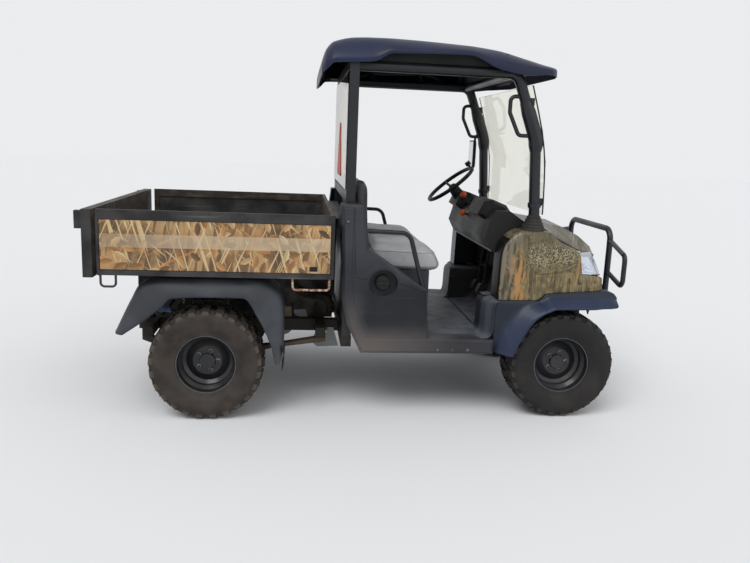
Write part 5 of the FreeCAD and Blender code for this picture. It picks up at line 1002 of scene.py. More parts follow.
# Columns: end and side of the vehicle, and where the wheel's middle is
for where, middle in (
    ("front_left", (FRONT_AXLE, FRONT_HALF_TRACK, AXLE_Z)),
    ("front_right", (FRONT_AXLE, -FRONT_HALF_TRACK, AXLE_Z)),
    ("rear_left", (REAR_AXLE, REAR_HALF_TRACK, AXLE_Z)),
    ("rear_right", (REAR_AXLE, -REAR_HALF_TRACK, AXLE_Z)),
):
    wheel, shapes = f"wheel_{where}", moved(tyre_shapes, middle)
    knobbly = weld(f"knobbly_tyre_{where}", shapes, tyre_rubber, wheel, soft_angle=30)
    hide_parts(f"tyre_{where}")
    out = math.copysign(1, middle[1])
    nuts = []
    for turn in np.arange(NUTS) * 2 * math.pi / NUTS:
        seat = np.array(middle) + (NUT_RING * math.cos(turn), out * NUT_SEAT, NUT_RING * math.sin(turn))
        nuts.append(turned(NUT, seat, (0, out, 0), 6))
    weld(f"wheel_nuts_{where}", nuts, glinting_nut_steel, wheel, soft_angle=30)

# The long side boards of the bed carry a printed film: dry grass, stalks and fallen leaves in tan and ochre.
# A paler plain band runs along each board. The film lies in the board's sunk panel, inside a thin black edge.
print_group, inward, outward = group(
    "woodland film",
    {
        "Vector": (VECTOR, None), "Ground": (COLOUR, shade(166, 134, 92)),
        "Shadow": (COLOUR, shade(84, 64, 44)), "Stalk": (COLOUR, shade(200, 176, 132)),
        "Leaf": (COLOUR, shade(174, 122, 68)), "Leaf Size": (NUMBER, 0.05),
    },
    {"Color": COLOUR},
)
flat = inward["Vector"]
soft = use(print_group, patches, Vector=flat, Scale=5.5, Detail=4.0, Low=0.42, High=0.62)
hue = use(print_group, patches, Vector=flat, Scale=14.0, Detail=5.0, Low=0.35, High=0.68)
picture = blend(print_group, soft, inward["Ground"], inward["Shadow"])
picture = blend(print_group, times(print_group, hue, 0.4), picture, inward["Leaf"])
# Tree trunks: a few wide upright bands, rough with bark
upright = put(print_group, "ShaderNodeMapping", {"Vector": flat, "Scale": (1, 0.16, 1)}).outputs[0]
trunk = use(print_group, patches, Vector=upright, Scale=4.6, Detail=2.0, Low=0.54, High=0.6)
bark = put(print_group, "ShaderNodeMapping", {"Vector": flat, "Scale": (60, 9, 1)}).outputs[0]
bark = use(print_group, patches, Vector=bark, Scale=1.0, Detail=4.0, Low=0.35, High=0.65)
wood = blend(print_group, bark, inward["Shadow"], inward["Ground"])
picture = blend(print_group, times(print_group, trunk, 0.8), picture, wood)
# Columns: lean of the stalks in radians, fineness along and across, where the noise is cut, share of the
# colour
for lean, along, across, cut, share, socket in (
    (0.12, 2.2, 46, 0.55, 0.75, "Shadow"), (-0.30, 2.6, 70, 0.60, 0.85, "Stalk"),
    (0.42, 3.0, 88, 0.62, 0.8, "Stalk"), (1.15, 2.8, 60, 0.63, 0.7, "Leaf"),
    (-0.9, 3.4, 96, 0.65, 0.8, "Stalk"),
):
    leant = put(print_group, "ShaderNodeMapping", {"Vector": flat, "Rotation": (0, 0, lean)}).outputs[0]
    drawn = put(print_group, "ShaderNodeMapping", {"Vector": leant, "Scale": (across, along, 1)}).outputs[0]
    streak = use(print_group, patches, Vector=drawn, Scale=1.0, Detail=1.5, Low=cut, High=cut + 0.05)
    picture = blend(print_group, times(print_group, streak, share), picture, inward[socket])
# Each Voronoi cell holds one leaf: a lens shape turned by the cell's own random angle, with a dark middle rib
for shift, fineness, low_colour, high_colour in (
    ((0, 0, 0), 0.62, "Leaf", "Stalk"), ((0.37, 0.21, 0), 1.0, "Shadow", "Leaf"),
    ((0.11, 0.53, 0), 0.8, "Leaf", "Stalk"),
):
    slid = put(print_group, "ShaderNodeVectorMath", {0: flat, 1: shift}, operation="ADD").outputs[0]
    density = count(print_group, "DIVIDE", fineness * 0.62, inward["Leaf Size"])
    cell = put(
        print_group, "ShaderNodeTexVoronoi", {"Vector": slid, "Scale": density}, voronoi_dimensions="2D",
    )
    local = put(
        print_group, "ShaderNodeVectorMath", {0: slid, 1: cell.outputs["Position"]}, operation="SUBTRACT",
    ).outputs[0]
    chance = put(print_group, "ShaderNodeSeparateColor", {0: cell.outputs["Color"]})
    spin = times(print_group, chance.outputs[0], 6.283)
    aligned = put(
        print_group, "ShaderNodeVectorRotate", {"Vector": local, "Angle": spin}, rotation_type="Z_AXIS",
    ).outputs[0]
    growth = {0: aligned, "Scale": count(print_group, "DIVIDE", 1.0, inward["Leaf Size"])}
    sized = put(print_group, "ShaderNodeVectorMath", growth, operation="SCALE").outputs[0]
    ends = axes_of(print_group, sized)
    wavy = put(print_group, "ShaderNodeTexNoise", {"Vector": sized, "Scale": 3.0, "Detail": 2.0}).outputs[0]
    narrowing = times(print_group, count(print_group, "POWER", ends["X"], 2.0), 0.55)
    width = count(print_group, "SUBTRACT", 0.40, narrowing)
    width = times(print_group, width, count(print_group, "ADD", wavy, 0.45))
    side = count(print_group, "ABSOLUTE", ends["Y"])
    shape = count(print_group, "MULTIPLY", count(print_group, "SUBTRACT", width, side), 14.0, clamp=True)
    shown = count(print_group, "GREATER_THAN", chance.outputs[2], 0.38)
    tint = blend(print_group, chance.outputs[1], inward[low_colour], inward[high_colour])
    fold = ramp(print_group, ends["Y"], -0.3, 0.3, 0.62, 1.12)
    grey = put(print_group, "ShaderNodeCombineColor", {0: fold, 1: fold, 2: fold}).outputs[0]
    tint = blend(print_group, 1.0, tint, grey, "MULTIPLY")
    rib = count(print_group, "LESS_THAN", side, 0.02)
    tint = blend(print_group, times(print_group, rib, 0.5), tint, inward["Shadow"])
    picture = blend(print_group, times(print_group, shape, shown), picture, tint)
print_group.links.new(picture, outward["Color"])

# The pale band's edges in z, and in x where it begins and where it is as strong as it gets
BAND_LOW, BAND_HIGH, BAND_REAR, BAND_FULL = 0.932, 1.0, -1.352, -0.9


def film(name, turn, leaf_size, band, dust, gloss, colours, paint=None):
    """The woodland print as a film on a panel, laid flat by a turn, with a plain pale band on it if asked."""
    material, tree, shader, place = blank(name)
    laid = put(tree, "ShaderNodeMapping", {"Vector": place, "Rotation": turn}).outputs[0]
    base = use(tree, print_group, Vector=laid, Leaf_Size=leaf_size, **colours)
    if paint:
        base = paint(tree, place, base)
    if band:
        axes = axes_of(tree, place)
        above = count(tree, "GREATER_THAN", axes["Z"], BAND_LOW)
        below = count(tree, "LESS_THAN", axes["Z"], BAND_HIGH)
        ahead_of = ramp(tree, axes["X"], BAND_REAR, BAND_FULL, 0.34, 0.62)
        inside = times(tree, above, below, ahead_of)
        base = blend(tree, inside, base, shade(186, 166, 138))
    dirt = use(tree, dusting, Vector=place, Amount=dust, Top_Height=1.3)
    tree.links.new(blend(tree, dirt, base, DUST), shader.inputs["Base Color"])
    ripple = put(tree, "ShaderNodeTexNoise", {"Vector": place, "Scale": 60.0, "Detail": 3.0}).outputs[0]
    tree.links.new(ramp(tree, ripple, 0, 1, gloss, gloss + 0.2), shader.inputs["Roughness"])
    bump = put(tree, "ShaderNodeBump", {"Height": ripple, "Distance": 0.0004}).outputs[0]
    tree.links.new(bump, shader.inputs["Normal"])
    return material


SIDE_TURN = (math.radians(-90), 0, 0)
board_film = film("golden woodland film", SIDE_TURN, 0.045, True, 0.06, 0.34, {})


def sheet_plate(low, high, axis, thickness, corner):
    """A thin flat plate between two corners of its face, with its thickness along an axis and round
    corners."""
    low, high = np.array(low, float), np.array(high, float)
    low[axis], high[axis] = min(low[axis], low[axis] + thickness), max(low[axis], low[axis] + thickness)
    first, second = [k for k in range(3) if k != axis]
    angle = np.linspace(0, math.pi / 2, 5)
    around = []
    # Columns: the corner's quarter turn, and which way from the middle it lies along both edges
    for turn, out_first, out_second in ((0, 1, 1), (1, -1, 1), (2, -1, -1), (3, 1, -1)):
        sweep = angle + turn * math.pi / 2
        u = (high if out_first > 0 else low)[first] - corner * out_first
        v = (high if out_second > 0 else low)[second] - corner * out_second
        around += list(zip(u + corner * np.cos(sweep), v + corner * np.sin(sweep)))
    grid = np.zeros((2, len(around), 3))
    grid[:, :, [first, second]] = np.array(around)
    grid[0, :, axis], grid[1, :, axis] = low[axis], high[axis]
    return web(grid, caps=True)


BOARD_FACE, FILM_PROUD, TAG_PROUD = 0.7452, 0.0022, 0.0008
# Two corners in x and z of the film on a board, and of the small blank tag on the film
FILM_REAR_LOW, FILM_FRONT_TOP = (-1.379, 0.818), (-0.2205, 1.0705)
TAG_REAR_LOW, TAG_FRONT_TOP = (-0.327, 0.828), (-0.287, 0.853)


def on_board(side, face, rear_low, front_top, proud, corner):
    """A thin plate on one side board, between two corners in x and z."""
    ends = ((x, side * face, z) for x, z in (rear_low, front_top))
    return sheet_plate(*ends, 1, side * proud, corner)


for side, word in ((-1, "right"), (1, "left")):
    board = on_board(side, BOARD_FACE, FILM_REAR_LOW, FILM_FRONT_TOP, FILM_PROUD, 0.004)
    weld(f"board_film_{word}", [board], board_film, "bed")
    tag = on_board(side, BOARD_FACE + FILM_PROUD, TAG_REAR_LOW, TAG_FRONT_TOP, TAG_PROUD, 0.002)
    weld(f"blank_tag_{word}", [tag], dash_plastic, "bed")

# The cowl and the bonnet wear a darker film of the same kind. On the cowl, strokes of golden bark stand at
# the rear and front edges, specks of lichen lie across the middle and pale stalks rise from below. The top
# fades to olive.


def barked_with_rear_highlight(tree, place, base):
    """Bark, lichen specks and stalks, each kept to its own part of the cowl's side, and grey streaks over the
    rear part as a painted highlight on its rounded edge.
    """
    axes = axes_of(tree, place)
    ragged = put(tree, "ShaderNodeTexNoise", {"Vector": place, "Scale": 14.0, "Detail": 3.0}).outputs[0]
    shift = times(tree, count(tree, "SUBTRACT", ragged, 0.5), 0.16)
    along = count(tree, "ADD", axes["X"], shift)
    height = count(tree, "ADD", axes["Z"], shift)

    def between(value, low, high, soft):
        """1 from low to high and 0 outside them, with soft edges."""
        rise = ramp(tree, value, low - soft, low + soft)
        drop = ramp(tree, value, high + soft, high - soft)
        return times(tree, rise, drop)

    drawn = put(tree, "ShaderNodeMapping", {"Vector": place, "Scale": (44, 14, 6)}).outputs[0]
    strokes = use(tree, patches, Vector=drawn, Scale=1.0, Detail=5.0, Low=0.4, High=0.58)
    fine = use(tree, patches, Vector=drawn, Scale=2.4, Detail=4.0, Low=0.45, High=0.6)
    olive = blend(tree, fine, shade(60, 56, 42), shade(88, 80, 56))
    base = blend(tree, times(tree, between(height, 0.94, 1.3, 0.05), 0.75), base, olive)
    # Painted highlight: grey streaks over the rear part of the cowl's side.
    base = blend(tree, times(tree, between(along, 0.5, 0.85, 0.03), strokes), base, shade(112, 104, 88))
    gold = count(tree, "MAXIMUM", between(along, 0.795, 0.865, 0.02), between(along, 1.13, 1.175, 0.012))
    gold = times(tree, gold, between(height, 0.6, 0.95, 0.05))
    base = blend(tree, times(tree, gold, strokes), base, shade(166, 120, 62))
    stalks = times(tree, between(height, 0.5, 0.845, 0.03), between(along, 0.87, 1.4, 0.02))
    base = blend(tree, times(tree, stalks, strokes), base, shade(132, 118, 80))
    base = blend(tree, times(tree, stalks, fine, 0.7), base, shade(70, 60, 40))
    speck = use(tree, patches, Vector=place, Scale=150.0, Detail=3.0, Low=0.49, High=0.56)
    zone = times(tree, between(height, 0.86, 0.985, 0.03), between(along, 0.865, 1.16, 0.02))
    ground = blend(tree, times(tree, zone, 0.8), base, shade(62, 55, 42))
    base = blend(tree, times(tree, zone, speck), ground, shade(150, 140, 104))
    # The film ends on the rolled edge: behind it the rear edge and the inside are bare black plastic
    inner = count(tree, "LESS_THAN", count(tree, "ABSOLUTE", axes["Y"]), 0.636)
    rear = count(tree, "LESS_THAN", axes["X"], 0.7365)
    low = count(tree, "LESS_THAN", count(tree, "ADD", axes["X"], axes["Z"]), 1.78)
    back = times(tree, inner, low, count(tree, "LESS_THAN", axes["X"], 0.83))
    facing = axes_of(tree, put(tree, "ShaderNodeTexCoord").outputs["Normal"])["Y"]
    back = count(tree, "MAXIMUM", back, count(tree, "LESS_THAN", times(tree, facing, axes["Y"]), -0.2))
    return blend(tree, count(tree, "MAXIMUM", back, times(tree, inner, rear)), base, shade(10, 10, 11))


DARK_PRINT = {
    "Ground": shade(104, 92, 64), "Shadow": shade(50, 44, 32), "Stalk": shade(142, 128, 92),
    "Leaf": shade(116, 92, 54),
}
cowl_film = film("olive woodland film", SIDE_TURN, 0.036, False, 0.04, 0.3, DARK_PRINT, barked_with_rear_highlight)
COWL_OUT, COWL_IN, COWL_WALL, COWL_ROUND = 0.645, 0.5002, 0.004, 0.026
# The cowl side's outline in x and z, and how far from each corner its rounding starts. The first four sides
# are the bottom edge, which isn't rolled.
COWL = np.array([
    (0.7165, 0.6715, 0.003), (0.947, 0.6745, 0.02), (0.994, 0.7135, 0.02), (1.282, 0.7335, 0.02),
    (1.322, 0.7385, 0.006), (1.318, 0.808, 0.010), (1.200, 0.818, 0.016), (1.180, 0.950, 0.035),
    (1.048, 1.003, 0.05), (1.010, 1.056, 0.04), (0.846, 1.060, 0.05), (0.812, 1.054, 0.03),
    (0.745, 1.000, 0.04), (0.722, 0.940, 0.05),
])


def side_margins(outline, margins):
    """A counter-clockwise outline with each side moved inwards by its own margin."""
    along = np.roll(outline, -1, 0) - outline
    after = np.stack([-along[:, 1], along[:, 0]], 1) / np.linalg.norm(along, axis=1, keepdims=True)
    both_ways = np.stack([np.roll(after, 1, 0), after], 1)
    moves = np.stack([np.roll(margins, 1), margins], 1)
    return outline + np.linalg.solve(both_ways, moves[:, :, None])[:, :, 0]


def cowl_side(side):
    """One side panel: a hollow shell whose upper edge is rolled by a quarter circle into a flat face."""
    turn = np.linspace(0, math.pi / 2, 9)
    roll = np.stack([COWL_ROUND * (1 - np.cos(turn)), COWL_OUT - COWL_ROUND * (1 - np.sin(turn))], 1)
    steps = [
        (COWL_ROUND + COWL_WALL, COWL_OUT - COWL_WALL), (COWL_WALL, COWL_OUT - COWL_ROUND),
        (COWL_WALL, COWL_IN),
    ]
    steps += [(0, COWL_IN)] + roll.tolist()
    rolled = np.where(np.arange(len(COWL)) < 4, 0, 1)
    rings = [filleted(side_margins(COWL[:, :2], margin * rolled), COWL[:, 2]) for margin, _ in steps]
    rings = [np.insert(ring, 1, side * y, axis=1) for ring, (_, y) in zip(rings, steps)]
    return [web(np.array(rings), caps=True)]


RAISED = [
    (0.866, 1.034), (1.004, 1.036), (1.040, 0.990), (1.160, 0.940), (1.166, 0.880), (1.090, 0.835),
    (0.930, 0.815), (0.884, 0.860), (0.866, 0.940),
]


def cowl_panel(side):
    """The soft raised field in the middle of a cowl side."""
    steps = (
        (0, COWL_OUT - 0.001), (0.003, COWL_OUT + 0.003), (0.007, COWL_OUT + 0.005),
        (0.012, COWL_OUT + 0.006),
    )
    return [layered(filleted(RAISED, 0.03, 8), steps, side)]


cowl_shapes = both(cowl_side) + both(cowl_panel)
cowl_sides = weld("cowl_sides", cowl_shapes, cowl_film, "chassis", soft_angle=34)
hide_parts("cowl")
hood_film = film(
    "olive woodland film on the bonnet", (0, 0, 0), 0.036, False, 0.03, 0.26,
    {
        "Ground": shade(84, 78, 58), "Shadow": shade(44, 40, 32), "Stalk": shade(124, 116, 88),
        "Leaf": shade(92, 76, 48),
    },
)
dress(hood_film, "hood")

# The bench has a light grey vinyl cushion and a black vinyl back, each foam on a board with one sewn panel
# and a welt round its edge. Foam pushes the vinyl out between the welts.


def vinyl(name, colour, second, crease):
    """Grained vinyl: a fine cell pattern for the leather grain, soft creases, and a satin skin."""
    material, tree, shader, place = blank(name)
    faded = use(tree, patches, Vector=place, Scale=6.0, Detail=5.0, Low=0.35, High=0.68)
    base = blend(tree, faded, colour, second)
    soil = use(tree, patches, Vector=place, Scale=22.0, Detail=6.0, Low=0.58, High=0.75)
    base = blend(tree, times(tree, soil, 0.3), base, DUST)
    tree.links.new(base, shader.inputs["Base Color"])
    cells = put(tree, "ShaderNodeTexVoronoi", {"Vector": place, "Scale": 420.0}).outputs["Distance"]
    folds = put(tree, "ShaderNodeTexNoise", {"Vector": place, "Scale": 16.0, "Detail": 3.0}).outputs[0]
    fine = put(tree, "ShaderNodeBump", {"Height": cells, "Distance": 0.0003}).outputs[0]
    broad = put(tree, "ShaderNodeBump", {"Height": folds, "Distance": crease, "Normal": fine}).outputs[0]
    tree.links.new(broad, shader.inputs["Normal"])
    tree.links.new(ramp(tree, faded, 0, 1, 0.42, 0.58), shader.inputs["Roughness"])
    return material


cushion_vinyl = vinyl("light grey vinyl", shade(158, 159, 160), shade(140, 141, 143), 0.004)
back_vinyl = vinyl("black vinyl", shade(44, 44, 47), shade(58, 58, 61), 0.003)


def stuffed(name, node, material, shrink, cap, cell, lean=0.0):
    mesh = nodes[node].data.copy()
    mesh.name = name
    low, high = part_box(node)
    middle, half = (np.array(low) + np.array(high)) / 2, (np.array(high) - np.array(low)) / 2
    flat_points = np.zeros(len(mesh.vertices) * 3)
    mesh.vertices.foreach_get("co", flat_points)
    points = middle + (flat_points.reshape(-1, 3) - middle) * (half - shrink) / half
    ahead = np.clip((points[:, 0] - middle[0]) / half[0], 0, 1)
    points[:, 0] += lean * ahead * (high[2] - points[:, 2]) / (2 * half[2])
    mesh.vertices.foreach_set("co", points.ravel())
    shell = bmesh.new()
    shell.from_mesh(mesh)
    bmesh.ops.remove_doubles(shell, verts=shell.verts, dist=1e-5)
    shell.to_mesh(mesh)
    shell.free()
    mesh.materials.clear()
    mesh.materials.append(material)
    pad = bpy.data.objects.new(name, mesh)
    bpy.context.scene.collection.objects.link(pad)
    remesh = pad.modifiers.new("remesh", "REMESH")
    remesh.mode = "VOXEL"
    remesh.voxel_size = cell
    settle(pad, cap)
    smooth = pad.modifiers.new("smooth", "SUBSURF")
    smooth.levels = smooth.render_levels = 1
    bake(pad)
    pad.data.shade_smooth()
    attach(pad, "chassis")
    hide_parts(node)
    return pad


def bake(thing):
    """Puts what the modifiers make into the mesh itself."""
    view = bpy.context.evaluated_depsgraph_get()
    made = bpy.data.meshes.new_from_object(thing.evaluated_get(view))
    thing.modifiers.clear()
    thing.data = made


def points_of(thing):
    """The points of a mesh as an array with three columns."""
    flat_points = np.zeros(len(thing.data.vertices) * 3)
    thing.data.vertices.foreach_get("co", flat_points)
    return flat_points.reshape(-1, 3)


PRESSURE, FRAMES = 4, 20


def settle(pad, cap):
    """Cloth under pressure with no gravity for some frames. No point ends up further than the cap from its
    start."""
    bake(pad)
    rest = points_of(pad)
    cloth = pad.modifiers.new("cloth", "CLOTH")
    cloth.settings.use_pressure = True
    cloth.settings.uniform_pressure_force = PRESSURE
    cloth.settings.effector_weights.gravity = 0
    for step in range(1, FRAMES + 1):
        bpy.context.scene.frame_set(step)
    bake(pad)
    bpy.context.scene.frame_set(1)
    move = points_of(pad) - rest
    length = np.linalg.norm(move, axis=1, keepdims=True)
    capped = rest + move * np.minimum(1, cap / np.maximum(length, 1e-9))
    pad.data.vertices.foreach_set("co", capped.ravel())


WELT_RADIUS = 0.0035


def welt(name, pad, height, material):
    """A welt round a pad at a height for each x: a ring of rays from the middle finds the pad's skin, and a
    cord lies on it."""
    tree = BVHTree.FromPolygons(points_of(pad).tolist(), [list(face.vertices) for face in pad.data.polygons])
    low, high = points_of(pad).min(0), points_of(pad).max(0)
    middle = (low + high) / 2
    half = (high - low) / 2
    corner = np.linspace(0, 2 * math.pi, 160, endpoint=False)
    # Rays start on a shrunk rounded rectangle, so that they meet the long sides squarely
    start_x = middle[0] + np.clip(np.cos(corner) * 2.2, -0.8, 0.8) * half[0]
    start_y = middle[1] + np.clip(np.sin(corner) * 4, -0.92, 0.92) * half[1]
    found = []
    for x, y, angle in zip(start_x, start_y, corner):
        heading = Vector((math.cos(angle) / half[0] * 0.3, math.sin(angle) / half[1] * 1.1, 0)).normalized()
        hit = tree.ray_cast(Vector((x, y, height(x))), heading)[0]
        if hit is not None:
            found.append(hit)
    weld(name, [tube(found, WELT_RADIUS, 8, closed=True)], material, "chassis")


seat_pad = stuffed(
    "seat_cushion_pad", "seat_cushion", cushion_vinyl, 0.006, 0.016, 0.012, lean=0.034,
)
stuffed("seat_back_pad", "seat_back", back_vinyl, 0.005, 0.012, 0.012)
welt("seat_welt", seat_pad, lambda x: 0.921 - 0.042 * x, cushion_vinyl)

# The windscreen is one bent sheet of clear polycarbonate, rubbed dull in places, and the rear screen a flat
# one that has yellowed. Behind the rear screen hangs the red-orange triangle plate that marks a slow vehicle,
# left plain.


def clear(name, tint, roughness, haze):
    """Thin clear plastic: light goes through with a little tint, and the surface has wiping marks in its
    gloss."""
    material, tree, shader, place = blank(name)
    shader.inputs["Transmission Weight"].default_value = 1.0
    shader.inputs["IOR"].default_value = 1.12
    smear = use(tree, patches, Vector=place, Scale=5.0, Detail=5.0, Low=0.45, High=0.8)
    tree.links.new(ramp(tree, smear, 0, 1, roughness, roughness + haze), shader.inputs["Roughness"])
    tree.links.new(blend(tree, smear, tint, [c * 0.93 for c in tint[:3]] + [1]), shader.inputs["Base Color"])
    return material


windscreen_plastic = clear("clear windscreen", (0.93, 0.92, 0.84, 1), 0.01, 0.04)
dress(windscreen_plastic, "windshield")
rear_plastic = clear("browned rear screen", (0.60, 0.54, 0.45, 1), 0.05, 0.1)
dress(rear_plastic, "rear_screen")
sign_paint = finish(
    "faded sign face", shade(188, 52, 30), shade(198, 70, 42), 0.45, grain=300.0, dust=0.1, dust_top=2.0,
    scuff=0.2,
)
dress(sign_paint, "slow_sign")

# A black rubber channel grips each upright edge of the windscreen, and foam sleeves with ring clamps pad the
# posts.
GLASS_EDGE = np.array([(0.953, 1.148), (0.953, 1.200), (0.944, 1.434), (0.914, 1.599), (0.843, 1.834)])
# The sleeve's middle line in x and z, and the clamp's profile of radius and distance along the post
POST_Y = 0.56
SLEEVE = np.array([(0.816, 1.750), (0.851, 1.658), (0.882, 1.575), (0.891, 1.540), (0.8927, 1.486)])
CLAMP = ((0.031, -0.014), (0.036, -0.013), (0.036, 0.013), (0.031, 0.014))
glass_low, glass_high = (np.array(corner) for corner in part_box("windshield"))


def post_trim(side):
    """One side's edge channel, the sleeve on the front post and a ring clamp over the boot."""
    line = rounded(GLASS_EDGE, 2)
    reach = side * (min(abs(glass_low[1]), glass_high[1]) - 0.001)
    edge = tube(np.insert(line + (0.0025, 0), 1, reach, axis=1), 0.0042, 8)
    pad = np.insert(rounded(SLEEVE, 3), 1, side * POST_Y, axis=1)
    ends = np.minimum(np.arange(len(pad)), np.arange(len(pad))[::-1])
    sleeve = tube(pad, np.where(ends == 0, 0.0315, np.where(ends == 1, 0.037, 0.0395)), 20)
    clamp = turned(CLAMP, (0.9112, side * POST_Y, 1.196), (0.063, 0, -1), 24)
    return [edge, sleeve, clamp]


weld("post_trim", both(post_trim), tube_paint, "chassis", soft_angle=40)

# The mirror's face is silvered glass with a faint bloom, in a flat plate with round corners.
mirror_face, silver, silver_shader, mirror_place = blank("mirror face")
silver_shader.inputs["Metallic"].default_value = 1
bloom = use(silver, patches, Vector=mirror_place, Scale=30.0, Detail=4.0, Low=0.4, High=0.7)
silvering = blend(silver, bloom, shade(214, 218, 220), shade(196, 200, 202))
silver.links.new(silvering, silver_shader.inputs["Base Color"])
silver.links.new(times(silver, bloom, 0.08), silver_shader.inputs["Roughness"])
glass = sheet_plate((0.8258, 0.597, 1.364), (0.8258, 0.703, 1.536), 0, -0.0012, 0.012)
weld("mirror_glass", [glass], mirror_face, "chassis")

# The headlights are clear plastic shells with a bright pressed reflector showing through.
lamp_shell = finish(
    "silvered lamp", shade(150, 157, 168), shade(206, 212, 222), 0.08, spread=0.08, metallic=0.7, coat=0.8,
    grain=70.0, grain_depth=0.004, dust=0.02, scuff=0.03, gloss=0.5,
)
# Columns: y, x and z of the lens's upper edge, x and z of its lower edge
LENS = np.array([
    (0.441, 1.298, 0.902, 1.337, 0.813), (0.488, 1.297, 0.906, 1.339, 0.812),
    (0.503, 1.284, 0.934, 1.339, 0.812), (0.545, 1.272, 0.932, 1.334, 0.812),
    (0.580, 1.240, 0.918, 1.312, 0.814), (0.596, 1.206, 0.890, 1.270, 0.817),
])


def lamp(side):
    """One lamp: a crowned lens that wraps round the corner, closed behind by a shallow box."""
    y = np.linspace(LENS[0, 0], LENS[-1, 0], 40)
    high_x, high_z, low_x, low_z = eased(y, LENS[:, 0], LENS[:, 1:]).T
    down = np.linspace(0, 1, 14)[:, None]
    bulge = 0.006 * np.sin(down * math.pi)
    x = high_x * (1 - down) + low_x * down + bulge
    z = high_z * (1 - down) + low_z * down + bulge * 0.4
    face = np.stack([x, side * y + 0 * x, z], -1)
    back = np.stack([np.minimum(x, 1.178), side * y + 0 * x, np.clip(z, 0.8205, 0.925)], -1)
    rim = np.concatenate([face, back[::-1]], 0)
    return [web(rim.transpose(1, 0, 2), caps=True)]


lenses = weld("lamp_lenses", both(lamp), lamp_shell, "chassis", soft_angle=50)
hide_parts("headlights")


def lamp_lip(side):
    """The black lip that a lens stands on: a thin bar along its lower edge."""
    y = np.linspace(LENS[0, 0], LENS[-1, 0], 20)
    low_x, low_z = eased(y, LENS[:, 0], LENS[:, 3:]).T
    return [tube(np.stack([low_x, side * y, low_z - 0.001], 1), 0.0035, 8)]


weld("lamp_lips", both(lamp_lip), dash_plastic, "chassis")

# Rubber: ribbed boots at the posts' feet. Steel: springs, shocks and lift cylinder. Castings: engine and
# silencer.
boot_rubber = finish(
    "black boot rubber", shade(26, 26, 28), shade(38, 37, 37), 0.6, spread=0.15, grain=600.0, dust=0.45,
    dust_top=1.5, scuff=0.05,
)
dress(boot_rubber, "post_boots")
spring_steel = finish(
    "rusting spring steel", shade(46, 42, 40), shade(96, 74, 58), 0.55, spread=0.25, metallic=0.2, patch=16.0,
    grain=240.0, grain_depth=0.0006, dust=0.7, dust_top=0.8, scuff=0.25,
)
dress(spring_steel, "rear_suspension")
cast_iron = finish(
    "oily castings", shade(62, 62, 62), shade(40, 36, 33), 0.5, spread=0.3, metallic=0.4, patch=12.0,
    grain=160.0, grain_depth=0.0012, dust=0.6, dust_top=0.9, scuff=0.1,
)
dress(cast_iron, "engine_block", "muffler")
cylinder_steel = finish(
    "cylinder steel", shade(90, 92, 96), shade(120, 120, 122), 0.3, spread=0.2, metallic=0.8, grain=300.0,
    dust=0.4, scuff=0.2,
)
dress(cylinder_steel, "lift_barrel", "lift_rod")

# Between the bed and the covers: a beige heat shield and a grey plate in a wire frame stand on the engine's
# side, a ribbed hose runs down it, a bracket with a rusty bolt hangs from the rail, and a filter sits on the
# rail's rear end.
shield_paint = finish(
    "beige heat shield", shade(134, 120, 98), shade(112, 98, 78), 0.55, grain=200.0, dust=0.2, scuff=0.3,
)
bracket_paint = finish(
    "pale grey plate", shade(136, 140, 142), shade(112, 114, 114), 0.45, grain=200.0, dust=0.2, scuff=0.3,
)
hose_rubber = finish(
    "grimy hose", shade(26, 26, 26), shade(52, 44, 36), 0.6, patch=12.0, grain=120.0, dust=0.3,
)
filter_shell = finish(
    "blue and white canister", shade(70, 96, 132), shade(150, 156, 162), 0.3, patch=26.0, spread=1.0,
    dust=0.15, gloss=0.5,
)
rust = finish("rusty bolt", shade(128, 84, 56), shade(92, 60, 42), 0.8, patch=40.0, grain=300.0, dust=0.1)


def slab(outline, y_out, y_in):
    """A flat plate with round corners and a small bevel, from its outer to its inner side."""
    bevel = 0.001
    return layered(filleted(outline, 0.006), [(bevel, y_out), (0, y_out + bevel), (0, y_in)])


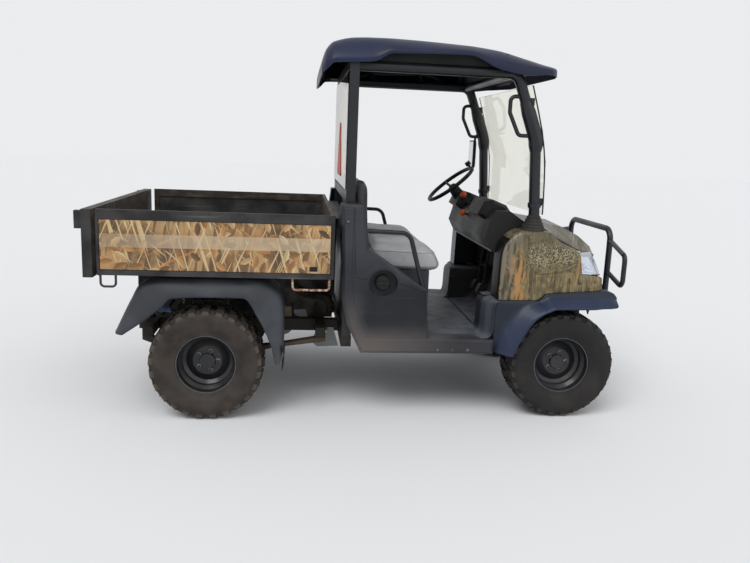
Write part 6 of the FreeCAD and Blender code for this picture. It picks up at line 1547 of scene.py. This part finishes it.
shield = [(-0.469, 0.512), (-0.466, 0.337), (-0.436, 0.347), (-0.413, 0.369), (-0.419, 0.513)]
PLATE_OUT, PLATE_IN = -0.206, -0.197
weld("heat_shield", [slab(shield, PLATE_OUT, PLATE_IN)], shield_paint, "chassis")
panel = [(-0.408, 0.493), (-0.407, 0.399), (-0.302, 0.401), (-0.334, 0.499)]
hanger = [
    (-0.286, 0.343), (-0.258, 0.404), (-0.232, 0.404), (-0.216, 0.348), (-0.203, 0.404), (-0.168, 0.404),
    (-0.135, 0.288), (-0.262, 0.282), (-0.285, 0.302),
]
plates = [slab(panel, PLATE_OUT, PLATE_IN), slab(hanger, -0.264, -0.2545)]
weld("pale_plates", plates, bracket_paint, "chassis")
WIRE = [(-0.412, -0.213, 0.525), (-0.410, -0.213, 0.447), (-0.294, -0.213, 0.446), (-0.276, -0.213, 0.530)]
wire = rounded(np.array(WIRE), 2)
wire = np.concatenate([wire[:1] + (0, 0.02, 0), wire, wire[-1:] + (0, 0.02, 0)])
hose = rounded(np.array([
    (-0.406, -0.190, 0.640), (-0.360, -0.232, 0.606), (-0.300, -0.236, 0.590), (-0.220, -0.236, 0.586),
    (-0.186, -0.226, 0.545), (-0.190, -0.190, 0.480),
]), 4)
ribs = 0.0215 + 0.003 * np.sin(np.arange(len(hose)) * 1.9)
hoses = [tube(hose, ribs, 16), tube(wire, 0.006, 8)]
weld("engine_hoses", hoses, hose_rubber, "chassis", soft_angle=50)
bolt = turned(((0.012, 0), (0.012, 0.008), (0.007, 0.011)), (-0.262, -0.263, 0.318), (0, -1, 0), 6)
weld("hanger_bolt", [bolt], rust, "chassis")
CANISTER = ((0.010, -0.040), (0.019, -0.037), (0.020, 0.030), (0.014, 0.037), (0.008, 0.040))
canister = turned(CANISTER, (-1.148, -0.262, 0.499), (1, 0, 0), 24)
weld("fuel_filter", [canister], filter_shell, "chassis", soft_angle=40)
stay = tube([(-1.020, -0.240, 0.477), (-1.090, -0.252, 0.490), (-1.148, -0.246, 0.485)], 0.007, 8)
weld("filter_stay", [stay], frame_paint, "chassis")


def knobbed(tree, place, base):
    """Faded orange on the two round knobs, and black on their stems."""
    share = 0.0
    for knob in ((0.668, 0.130, 1.196), (0.655, 0.060, 1.085)):
        away = put(tree, "ShaderNodeVectorMath", {0: place, 1: knob}, operation="DISTANCE").outputs["Value"]
        share = count(tree, "MAXIMUM", share, count(tree, "LESS_THAN", away, 0.0206))
    return blend(tree, share, base, shade(190, 78, 34))


lever_finish = finish(
    "lever", shade(30, 30, 32), shade(42, 42, 44), 0.4, grain=300.0, dust=0.1, scuff=0.1, paint=knobbed,
)
dress(lever_finish, "hand_levers")
